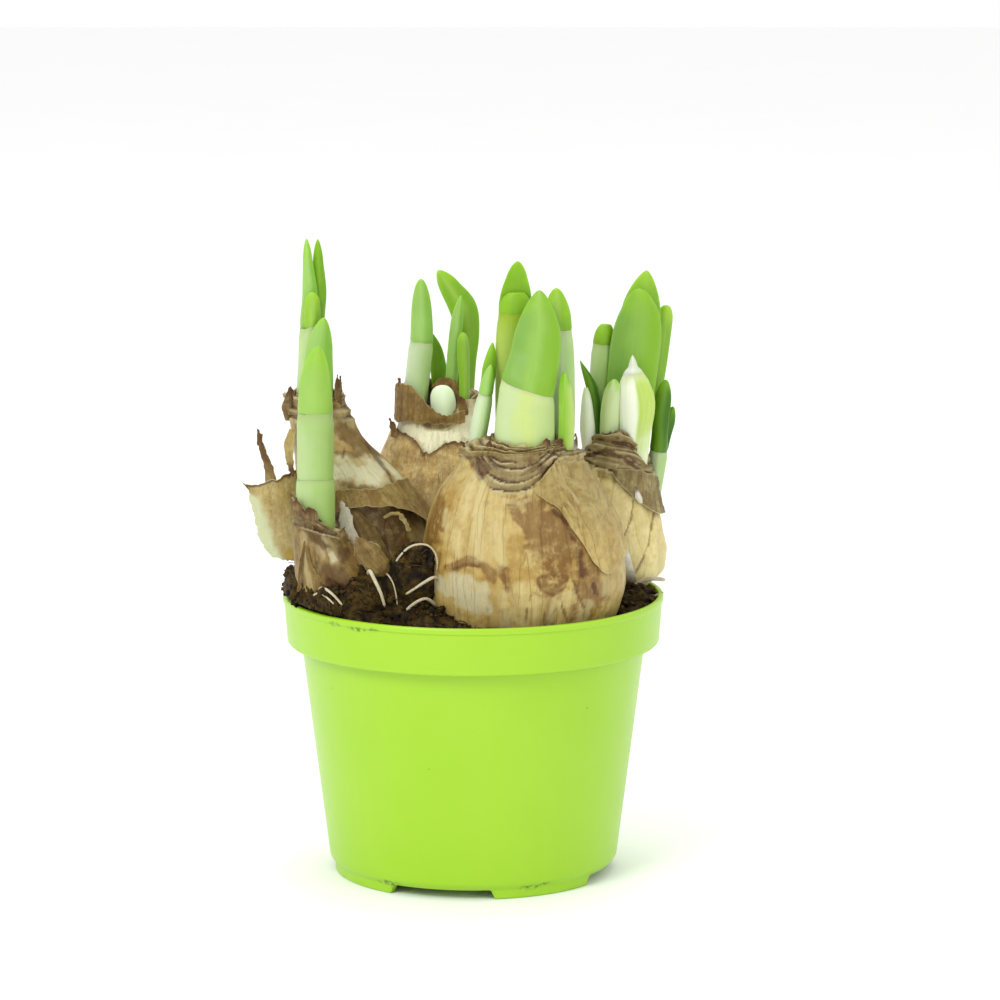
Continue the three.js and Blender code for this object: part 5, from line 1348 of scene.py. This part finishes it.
def flapPart(shape, seed):
    rows, columns = shape["grid"]
    wide, tall, ragged = shape["wide"], shape["tall"], shape["ragged"]
    across, up = np.linspace(0, 1, columns), np.linspace(0, 1, rows)
    steps = 160
    dense = gridThrough(shape["rows"], np.linspace(0, 1, steps + 1), np.linspace(0, 1, steps + 1))
    left = 1 - tornEdge(up * tall, ragged, seed)[:, None] / wide
    low = tornEdge(across * wide, ragged, seed + 5)[None, :] / tall
    high = 1 - tornEdge(across * wide, ragged, seed + 11)[None, :] / tall
    u = (across[None, :] * left * steps).clip(0, steps)
    v = ((low + (high - low) * up[:, None]) * steps).clip(0, steps)
    i, j = np.minimum(v.astype(int), steps - 1), np.minimum(u.astype(int), steps - 1)
    a, b = (v - i)[..., None], (u - j)[..., None]
    before, after = (dense[i, k] * (1 - a) + dense[i + 1, k] * a for k in (j, j + 1))
    grid = before * (1 - b) + after * b
    beside, above = np.meshgrid(across, up)
    swell = shape["crumple"] * layeredNoise(grid, 6, seed + 2)
    swell = swell + 0.15 * layeredNoise(grid * (1, 1, 0.25), 2, seed + 6)
    curl = -1.1 * np.exp(-(1 - above) * tall / 1.5)
    grid = grid + normalsOf(grid) * ((swell + curl) * ease(0, 0.2, beside))[..., None]
    values = {"grain": grid * (1, 1, 0.14), "rim": rimValue(grid),
              "fresh": ease(0.5, 0.9, beside) * (1 - ease(0.72, 0.92, above)),
              "gold": (1 - ease(0.08, 0.3, above)) * (1 - ease(0.5, 0.8, beside)),
              "burnt": ease(0.93, 1, above) + ease(0.9, 1, beside) * ease(0.8, 0.95, above)}
    return sheetPart(grid, 0.34, values)


flap = joinParts([flapPart(leftFlap, 71), tonguePart(leftFlap["curl"], 33)])
makePiece("skin-left-flap", flap, skinMaterials[leftFlap["look"]], "papery_skin", "skin_left_flap")

smallSkins = dict(
    skin_small_scale=dict(
        look="scale", slot="papery_skin", thick=0.5, cup=0.3, facing=18, tip=(12, 0.8), burnt=0.3,
        stations=[[-29.6, -16.6, 94, 5.4], [-31, -16.4, 102, 5.8], [-34.6, -15, 110.6, 4.6],
                  [-39.2, -13, 119.4, 2]]),
    skin_small_flap=dict(
        look="cream", slot="white_scale", thick=0.5, cup=0.2, facing=10, tip=(8, 0.7), burnt=0,
        stations=[[-34.4, -18.6, 103, 1.8], [-37.2, -18.2, 108, 2.2], [-39.2, -17.6, 114, 2.2],
                  [-40.6, -17, 120.8, 1.6]]),
)
for seed, (node, shape) in enumerate(smallSkins.items()):
    part = tonguePart(shape, 60 + seed)
    makePiece(node.replace("_", "-"), part, skinMaterials[shape["look"]], shape["slot"], node)
print("papery skins ready")


# Roots
rootColours = {"flesh": (226, 216, 184), "dark": (170, 146, 98)}


def rootMaterial():
    material, tree, place = startMaterial("root flesh")
    shades = shadesOf(rootColours)
    streaks = fibresIn(tree, 2.0)
    patches = blotchesIn(tree, place, 3.0, 0.45, 0.12)
    base = layered(tree, shades, shades["flesh"], (patches["Mask"], 0.5, "dark"),
                   (streaks["Lines"], 0.35, "dark"))
    roughness = (streaks["Height"], 0.2, 0.4)
    finishMaterial(tree, base, roughness, streaks["Height"], 0.12, flesh=(0.25, (1.0, 0.8, 0.5), 0.8))
    return material


def tubePart(path, radius, thinning=0.45, sides=8, steps=26, seed=0):
    length, at = spineOf(path)
    shares = np.linspace(0, 1, steps)
    _, point, direction, _, _ = at(shares)
    side = unit(np.cross(np.array([0.36, 0.93, 0.1]), direction))
    front = np.cross(side, direction)
    right, ahead = np.cos(turnsOf(sides)), np.sin(turnsOf(sides))
    size = radius * (1 - thinning * shares) * (1 + 0.12 * lineNoise(shares * length + seed * 5, 2.5, seed))
    size = (size * np.where(shares > 0.97, 0.45, 1))[:, None, None]
    rings = point[:, None] + (side[:, None] * right[:, None] + front[:, None] * ahead[:, None]) * size
    return loftPart(rings, {"grain": xyz(right, ahead + seed, shares[:, None] * length * 0.2)})


def rootParts(shape, seed):  # a base plate, and the roots that hang from it
    levels, roots = shape["levels"], shape["roots"]
    z, x, y, width, deep = levels[0][:5]
    top = z - 0.3
    turn = turnsOf(40)
    size = np.array([0.5, 0.72, 0.86, 0.86, 0.8])[:, None] * (1 + 0.05 * np.sin(9 * turn))
    heights = top - np.array([2.4, 2, 1.2, 0.5, 0])[:, None]
    plate = xyz(x + np.cos(turn) * width * size, y + np.sin(turn) * deep * size, heights)
    parts = [loftPart(plate, {"grain": plate * 0.5})]
    for k in range(roots["count"] * 4):
        turn = 2 * math.pi * (k / 4 + 0.3) / roots["count"]
        right, back = math.cos(turn), math.sin(turn)
        reach = roots["spread"] * (0.75 + 0.25 * math.sin(5 * k))
        low = z - roots["depth"] * (0.8 + 0.15 * math.cos(3 * k))
        path = [[x + right * width * 0.45, y + back * deep * 0.45, top - 1.2]]
        knots = ((0.6, z - 9), (0.8, z * 0.7 + low * 0.3), (0.95, (z + low) / 2), (0.8, low))
        for share, height in knots:
            out = reach * share
            inwards = 1 - 0.005 * (z - height)
            sway = 1.1 * math.sin(k * 2.3 + height * 0.4)
            path.append([(x + right * out - back * sway) * inwards, (y + back * out + right * sway) * inwards,
                         height])
        parts.append(tubePart(path, 1.15 - 0.25 * (k % 3), 0.45, seed=seed + k))
    return parts


# Roots that show on the soil, in front of each bulb, as paths with a radius
surfaceRoots = dict(
    right=[([[44, 8, 84.6], [50, 1.6, 89.4], [53, 0.4, 92], [56.6, 0.4, 92.8], [60.6, 2.6, 92]], 1.05),
           ([[44, 9, 84], [50, 2, 85], [53.4, -1, 86.4], [57, -1.4, 87.4], [60, 0, 88.4]], 0.8)],
    small=[([[-47.6, -33, 93], [-46.6, -37.4, 96.8], [-45, -39.6, 97], [-42.4, -41.6, 95.4],
             [-39.8, -42.6, 92.6]], 0.55),
           ([[-49.4, -32, 92], [-48.4, -36.4, 94.8], [-46.8, -38.6, 95.4], [-44.6, -40.6, 94.6],
             [-42.4, -41.8, 92.8]], 0.42),
           ([[-32, -35, 101], [-31.2, -40.6, 102.6], [-29.6, -42.4, 99.8], [-28, -43, 96.4],
             [-26.8, -42.6, 92.2]], 0.72),
           ([[-28.6, -31, 98], [-26.4, -35.6, 101], [-24.6, -37.6, 99], [-23.6, -38.8, 96],
             [-23, -39.4, 92]], 0.32)],
    front=[([[-8, -34, 97], [-11.6, -39.2, 100.6], [-14.6, -40.6, 99.4], [-17.4, -41, 97.6],
             [-20.4, -40.6, 95.6]], 0.62),
           ([[-10, -36, 90], [-14.2, -41.6, 94.4], [-16.4, -42.8, 94], [-18.6, -43, 92.6],
             [-20.2, -42.4, 91]], 0.66),
           ([[-24, -33, 99], [-23.6, -35.2, 104.2], [-21.8, -36.6, 107.3], [-19, -37.6, 109.9],
             [-15.8, -38.4, 110.8], [-13.4, -39, 110.4], [-11.6, -39.4, 108.6], [-10.7, -39.4, 105.6],
             [-11, -38, 102]], 0.42)],
)
rootFlesh = rootMaterial()
for seed, (side, shape) in enumerate(bulbs.items()):
    parts = rootParts(shape, seed * 20)
    for k, (path, radius) in enumerate(surfaceRoots.get(side, [])):
        parts.append(tubePart(path, radius, 0.4, 12, 34, seed=k))
    makePiece("roots-" + side, joinParts(parts), rootFlesh, "root", "roots_" + side)
print("roots ready")


# Soil. A heap is its place, its height and how far it reaches in x and y. A clump is its middle
# and its half sizes. Grime on the pot is the angle from the front, the height, and the width in
# degrees and height of each smear.
soil = dict(
    colours=dict(dark=(62, 51, 22), light=(106, 88, 46), red=(120, 96, 54), grit=(150, 124, 80)),
    level=84.6,
    heaps=[(-55, -10, 14, 6, 13), (-19, -26, 12, 9, 10), (-30, -31, 14, 8, 8), (-42, -36, 13, 14, 8),
           (-12, -41, 5.5, 9, 8), (50, -2, 6, 9, 12)],
    rimLevel=88, overRim=(-58, -11, 10, 6, 11), crumbs=2500, fibres=520,
    clumps=[((-17.6, -33.2, 99.4), (8, 5.4, 10.6)), ((-25.4, -29, 95), (5.6, 5, 8.6)),
            ((-55, -14, 92), (5, 12, 6.4)), ((-50, -29, 92), (6, 6.4, 5)),
            ((-41.6, -37, 92), (8, 4.6, 5)), ((-33, -37.6, 93), (7, 5.4, 6))],
    clumpFibres=46, clumpCrumbs=90, overhang=60.2, sides=204, rings=82, clumpSides=56, clumpRows=42)
pot = dict(
    height=88.5, rim=60, collarFoot=59.1, collarFootHeight=73.5, bodyTop=54.2, bodyFoot=45.2, wall=1.2,
    lipHeight=1.8, lipStep=0.5, footHeight=3.1, foot=43.9, footWidth=2.4, pad=20, notches=4,
    notchAngle=42.5, firstNotch=-13.25, holes=8, holeRadius=3.2, holeCircle=31, sides=216,
    colours=dict(plastic=(178, 230, 58), light=(188, 236, 72), dirt=(58, 44, 20), smear=(64, 74, 18)),
    grime=[(-45, 86.6, 2.6, 0.7), (-36, 86.2, 3.4, 0.8), (-30, 86.6, 1.6, 0.6), (-36, 3.6, 6, 0.9),
           (24, 3.4, 5, 0.8), (30, 4, 2, 0.6)])


def heapOf(x, y, atX, atY, rise, wideX, wideY):
    return rise * np.exp(-((x - atX) / wideX) ** 2 - ((y - atY) / wideY) ** 2)


def soilHeight(x, y):
    height = soil["level"] + 0.5 * np.sin(0.9 * x + 0.4 * y) + 0.4 * np.sin(0.7 * y - 0.5 * x)
    for heap in soil["heaps"]:
        height = height + heapOf(x, y, *heap)
    most = soil["rimLevel"] + 2.2 * np.maximum(57.6 - np.hypot(x, y), 0) + heapOf(x, y, *soil["overRim"])
    return np.minimum(height, most)


def soilMaterial():
    material, tree, place = startMaterial("moist peat")
    shades = shadesOf(soil["colours"])
    coarse = blotchesIn(tree, place, 3.2, 0.5, 0.1)
    fine = blotchesIn(tree, place, 0.8, 0.5, 0.08)
    grit = specksIn(tree, place, 2.4, 0.12, 0.25)
    base = layered(tree, shades, shades["dark"], (coarse["Mask"], 1.0, "light"), (fine["Mask"], 0.4, "dark"),
                   (readValue(tree, "bit"), 0.8, "red"), (grit["Mask"], 0.6, "grit"))
    height = maths(tree, "ADD", coarse["Height"], fine["Height"])
    finishMaterial(tree, base, (fine["Height"], 0.4, 0.5), height, 0.7, 0.2)
    return material


def insideBulb(x, y, z):
    inside = np.zeros(x.shape, bool)
    for shape in bulbs.values():
        levels = shape["levels"]
        share = shareAtHeight(levels, z)
        _, atX, atY, width, depth, _ = bulbColumns(levels, share)
        near = ((x - atX) / (width + 0.4)) ** 2 + ((y - atY) / (depth + 0.4)) ** 2 < 1
        inside |= near & (z > levels[0][0]) & (z < levels[-1][0])
    return inside


def soilPart():
    turn = turnsOf(soil["sides"])
    walls = np.array([(19, 4.6), (41.8, 4.6), (43.4, 7.2), (52.5, 74.5), (57, 75.7)])
    radii = np.concatenate([[57.6, 57.9], np.linspace(57.4, 3, soil["rings"])])[:, None]
    flat = ringAt(turn, radii, 0)
    height = soilHeight(flat[..., 0], flat[..., 1]) + 1.0 * layeredNoise(flat, 6, 3)
    height = height + 0.7 * layeredNoise(flat, 2.2, 8) + 0.35 * softNoise(flat, 0.9, 5)
    rings = np.concatenate([ringAt(turn, walls[:, :1], walls[:, 1:]), ringAt(turn, radii, height)])
    return loftPart(rings, {"bit": 0})


def crumbShape():  # a small lump with 30 points, as rings closed at both ends
    size = np.array([0.25, 0.8, 1, 0.8, 0.25])[:, None]
    return loftPart(ringAt(turnsOf(6), size, np.array([-1, -0.6, 0, 0.6, 1])[:, None]))


def scatterOnSoil(count, outermost=57.5):
    x, y = draw.uniform(-60, 60, count * 2), draw.uniform(-60, 60, count * 2)
    z = soilHeight(x, y) + 0.4
    good = (np.hypot(x, y) < outermost) & ~insideBulb(x, y, z)
    return np.stack([x, y, z], -1)[good][:count]


def onRim(points):  # keeps lumps that reach over the pot's wall above its rim
    points = np.array(points)
    radius = np.hypot(points[..., 0], points[..., 1])
    points[..., :2] *= np.minimum(1, soil["overhang"] / radius)[..., None]
    lowest = pot["height"] + 0.25 + 0.5 * (radius - 57.6)
    points[..., 2] = np.where(radius > 57.6, np.maximum(points[..., 2], lowest), points[..., 2])
    return points


def outwards(count):  # directions that point up and to the front of a lump
    return unit(draw.normal(size=(count, 3)) + (0, -0.4, 0.5))


def crumbPart():
    points, faces, _ = crumbShape()
    places = [scatterOnSoil(soil["crumbs"])]
    for middle, half in soil["clumps"]:
        places.append(onRim(np.array(middle) + outwards(soil["clumpCrumbs"]) * half))
    places = np.concatenate(places)
    count = len(places)
    size = np.exp(draw.normal(-0.65, 0.5, count)).clip(0.22, 1.8)
    shape = draw.uniform(0.6, 1.3, (count, 3))
    axes = unit(draw.normal(size=(count, 3)))
    other = unit(np.cross(axes, draw.normal(size=(count, 3))))
    third = np.cross(axes, other)
    jitter = 1 + 0.3 * draw.normal(size=(count, len(points)))
    local = points[None] * jitter[..., None].clip(0.5, 1.5) * (shape * size[:, None])[:, None]
    world = sum(local[..., k:k + 1] * axis[:, None] for k, axis in enumerate((axes, other, third)))
    world = world + places[:, None] + np.array([0, 0, 1]) * (size * 0.25)[:, None, None]
    allFaces = (faces[None] + np.arange(count)[:, None, None] * len(points)).reshape(-1, 4)
    bit = np.repeat((draw.uniform(size=count) < 0.1).astype(float), len(points))
    return world.reshape(-1, 3), allFaces, {"bit": bit}


# Lumps of peat with a ragged surface, as ovals with noise, and the fibres that stand on them
def clumpPart():
    parts = []
    for k, (middle, half) in enumerate(soil["clumps"]):
        turn = turnsOf(soil["clumpSides"])[None, :]
        tilt = np.linspace(-0.49, 0.49, soil["clumpRows"])[:, None] * math.pi
        out = ringAt(turn, np.cos(tilt), np.sin(tilt))
        rings = np.array(middle) + out * half
        rough = 0.9 * layeredNoise(rings, 4, 80 + k) + 0.6 * layeredNoise(rings, 1.3, 90 + k)
        rings = onRim(rings + out * rough[..., None])
        parts.append(loftPart(rings, {"bit": 0}))
        for n, at in enumerate(outwards(soil["clumpFibres"])):
            heading = unit(np.cross(at, draw.normal(size=3)))
            start = np.array(middle) + at * half + at * 0.4
            bow = at * draw.uniform(0, 0.8)
            reach = draw.uniform(0.8, 2.6)
            path = [start - heading * reach - at * 0.6, start + bow, start + heading * reach - at * 0.6]
            path = onRim(np.stack(path)).tolist()
            part = tubePart(path, draw.uniform(0.08, 0.2), 0.3, 4, 7, seed=n)
            parts.append((part[0], part[1], {"bit": np.full(len(part[0]), 0.5 + 0.5 * (n % 2))}))
    return joinParts(parts)


def fibrePart():
    parts = []
    for k, place in enumerate(scatterOnSoil(soil["fibres"], 56.5)):
        heading = draw.uniform(0, 2 * math.pi)
        length = draw.uniform(2.5, 8)
        bend = draw.uniform(-0.5, 0.5)
        path = []
        for step in np.linspace(-0.5, 0.5, 4):
            angle = heading + bend * step * 2
            lift = 0.5 + draw.uniform(0, 1.1)
            right, back = math.cos(angle) * step * length, math.sin(angle) * step * length
            path.append([place[0] + right, place[1] + back, soilHeight(place[0], place[1]) + lift])
        part = tubePart(path, draw.uniform(0.1, 0.24), 0.3, 4, 9, seed=k)
        parts.append((part[0], part[1], {"bit": np.full(len(part[0]), 0.5 + 0.5 * (k % 3 == 0))}))
    return joinParts(parts)


peat = soilMaterial()
makePiece("soil-bed", soilPart(), peat, "soil", "soil")
makePiece("soil-crumbs", crumbPart(), peat, "soil")
makePiece("soil-clump", clumpPart(), peat, "soil")
makePiece("soil-fibres", fibrePart(), peat, "soil")
print("soil ready")


# Pot
def roundedProfile(corners, radius=0.35, steps=4):
    profile = [np.array(corners[0][:2], float)]
    for before, here, after in zip(corners[:-2], corners[1:-1], corners[2:]):
        here2 = np.array(here[:2], float)
        back, ahead = np.array(before[:2]) - here2, np.array(after[:2]) - here2
        sizes = np.linalg.norm(back), np.linalg.norm(ahead)
        reach = min(here[2] if len(here) > 2 else radius, 0.45 * sizes[0], 0.45 * sizes[1])
        start, end = here2 + unit(back) * reach, here2 + unit(ahead) * reach
        for s in np.linspace(0, 1, steps):
            profile.append((1 - s) ** 2 * start + 2 * s * (1 - s) * here2 + s * s * end)
    profile.append(np.array(corners[-1][:2], float))
    return np.array(profile)


def potPart():
    p = pot
    floorTop = p["footHeight"] + p["wall"]
    inner, lip, footIn = p["rim"] - p["wall"] - 0.6, p["rim"] - p["lipStep"], p["foot"] - p["footWidth"]
    corners = [
        (0.4, 0), (p["pad"], 0, 0.6), (p["pad"] + 2, p["footHeight"], 0.8), (footIn - 0.4, p["footHeight"]),
        (footIn, 0, 0.5), (p["foot"], 0, 0.6), (p["foot"] + 0.2, p["footHeight"], 0.5),
        (p["bodyFoot"] + 0.3, p["footHeight"] + 1.6, 1.6), (p["bodyTop"], p["collarFootHeight"] - 0.3, 0.5),
        (p["collarFoot"] - 0.5, p["collarFootHeight"], 0.9), (lip - 0.1, p["height"] - 4.4, 0.2),
        (lip - 0.05, p["height"] - 3.2, 0.2), (lip, p["height"] - p["lipHeight"] - 0.3, 0.25),
        (p["rim"], p["height"] - p["lipHeight"], 0.3), (p["rim"], p["height"], 0.7),
        (inner, p["height"], 0.5), (p["collarFoot"] - p["wall"] - 0.3, p["collarFootHeight"] + 1.4, 0.5),
        (p["bodyTop"] - p["wall"], p["collarFootHeight"] + 0.6, 0.4),
        (p["bodyFoot"] - p["wall"] - 0.6, floorTop, 1),
        (p["pad"] + 1.4, floorTop), (p["pad"] - 0.6, p["wall"]), (0.4, p["wall"])]
    profile = roundedProfile(corners)
    turn = turnsOf(p["sides"])[None, :]
    angle = np.degrees(turn)
    notch = np.zeros(turn.shape)
    for k in range(p["notches"]):
        away = np.abs((angle - (p["firstNotch"] + 360 / p["notches"] * k - 90) + 180) % 360 - 180)
        notch = np.maximum(notch, 1 - ease(p["notchAngle"] / 2 - 0.8, p["notchAngle"] / 2 + 0.8, away))
    radius, height = profile[:, :1], profile[:, 1:]
    outside = np.arange(len(profile))[:, None] < len(profile) // 2
    onFoot = (radius > footIn - 0.5) & (height < p["footHeight"]) & outside
    height = height + np.where(onFoot, (p["footHeight"] - height) * notch, 0)
    wobble = 0.06 * np.sin(3 * turn + 0.7) * ease(20, 80, height)
    grime = 0
    for at, level, wide, tall in p["grime"]:
        away = (angle - at - 270 + 180) % 360 - 180
        grime = np.maximum(grime, np.exp(-(away / wide) ** 2 - ((height - level) / tall) ** 2))
    return loftPart(ringAt(turn, radius + wobble, height), {"grime": grime * (radius > p["foot"])})


def cutHoles(piece):
    parts = []
    for around in turnsOf(pot["holes"]):
        rings = ringAt(turnsOf(32), pot["holeRadius"], np.array([[2], [5.4]]))
        middle = np.array([math.cos(around), math.sin(around), 0]) * pot["holeCircle"]
        parts.append(loftPart(rings + middle))
    points, faces, _ = joinParts(parts)
    cutterMesh = bpy.data.meshes.new("hole cutter")
    cutterMesh.from_pydata((points * mm).tolist(), [], faces.tolist())
    cutter = bpy.data.objects.new("hole cutter", cutterMesh)
    bpy.context.scene.collection.objects.link(cutter)
    modifier = piece.modifiers.new("holes", "BOOLEAN")
    modifier.operation = "DIFFERENCE"
    modifier.solver = "EXACT"
    modifier.object = cutter
    evaluated = piece.evaluated_get(bpy.context.evaluated_depsgraph_get())
    cut = bpy.data.meshes.new_from_object(evaluated)
    piece.modifiers.clear()
    piece.data = cut
    bpy.data.objects.remove(cutter)


def potMaterial():
    material, tree, place = startMaterial("lime plastic")
    shades = shadesOf(pot["colours"])
    shade = blotchesIn(tree, place, 40.0, 0.5, 0.25)
    grain = blotchesIn(tree, place, 0.5, 0.5, 0.2)
    smear = blotchesIn(tree, place, 13.0, 0.26, 0.05)
    grime = blotchesIn(tree, place, 1.1, 0.5, 0.06)
    dirt = specksIn(tree, place, 5.0, 0.06, 0.45)
    spots = maths(tree, "MULTIPLY", dirt["Mask"], smear["Mask"])
    soiled = maths(tree, "MULTIPLY", grime["Mask"], window(tree, readValue(tree, "grime"), 0.1, 0.8))
    base = layered(tree, shades, shades["plastic"], (shade["Mask"], 0.5, "light"), (spots, 0.85, "dirt"),
                   (soiled, 0.7, "smear"))
    roughness = (smear["Height"], 0.16, 0.26)
    finishMaterial(tree, base, roughness, grain["Height"], 0.02, flesh=(0.1, (0.7, 1.0, 0.2), 2.0))
    return material


potPiece = makePiece("nursery-pot", potPart(), potMaterial(), "pot", "pot")
cutHoles(potPiece)
print("pot ready")


# Stage: pale floor, soft light and a camera at the photograph's angle
stage = {"floor": (0.96, 0.96, 0.958, 1), "floorShade": (0.94, 0.94, 0.938, 1), "floorSize": 8.0,
         "skyStrength": 1.0, "keyPower": 17, "fillPower": 3, "topPower": 5}
cameraView = {"target": (8.46, 0, 118), "distance": 1450, "elevation": 9.65, "focal": 4615, "frame": 1000}


def floorPiece():
    half = stage["floorSize"] / 2
    mesh = bpy.data.meshes.new("floor")
    corners = [(-half, -half, 0), (half, -half, 0), (half, half, 0), (-half, half, 0)]
    mesh.from_pydata(corners, [], [(0, 1, 2, 3)])
    floor = bpy.data.objects.new("floor", mesh)
    bpy.context.scene.collection.objects.link(floor)
    material, tree, place = startMaterial("studio floor")
    value = noiseIn(tree, place, 0.01, 2.0)
    base = blend(tree, value, stage["floor"], stage["floorShade"])
    finishMaterial(tree, base, 0.8, value, 0.001, 0.1)
    floor.data.materials.append(material)


def softLight(name, place, aim, size, power):
    data = bpy.data.lights.new(name, "AREA")
    data.shape = "DISK"
    data.size = size
    data.energy = power
    lamp = bpy.data.objects.new(name, data)
    bpy.context.scene.collection.objects.link(lamp)
    lamp.location = place
    direction = np.array(aim) - np.array(place)
    yaw = math.atan2(direction[1], direction[0]) - math.pi / 2
    pitch = math.atan2(direction[2], math.hypot(direction[0], direction[1])) + math.pi / 2
    lamp.rotation_euler = (pitch, 0, yaw)


def makeCamera():
    tilt = math.radians(cameraView["elevation"])
    distance = cameraView["distance"] * mm
    x, y, z = (value * mm for value in cameraView["target"])
    data = bpy.data.cameras.new("camera")
    data.sensor_width = 36
    data.lens = cameraView["focal"] * data.sensor_width / cameraView["frame"]
    data.clip_start, data.clip_end = 0.05, 50
    camera = bpy.data.objects.new("camera", data)
    bpy.context.scene.collection.objects.link(camera)
    camera.location = (x, y - math.cos(tilt) * distance, z + math.sin(tilt) * distance)
    camera.rotation_euler = (math.pi / 2 - tilt, 0, 0)
    bpy.context.scene.camera = camera


world = bpy.data.worlds.new("soft white room")
world.use_nodes = True
world.node_tree.nodes["Background"].inputs["Color"].default_value = (1, 1, 1, 1)
world.node_tree.nodes["Background"].inputs["Strength"].default_value = stage["skyStrength"]
bpy.context.scene.world = world
bpy.context.scene.view_settings.view_transform = "Standard"
floorPiece()
softLight("key", (-0.9, -1.3, 1.3), (0, 0, 0.1), 0.9, stage["keyPower"])
softLight("fill", (1.3, -0.9, 0.7), (0, 0, 0.1), 1.1, stage["fillPower"])
softLight("top", (0.1, 0.5, 1.6), (0, 0, 0.1), 1.0, stage["topPower"])
makeCamera()
print("stage ready")
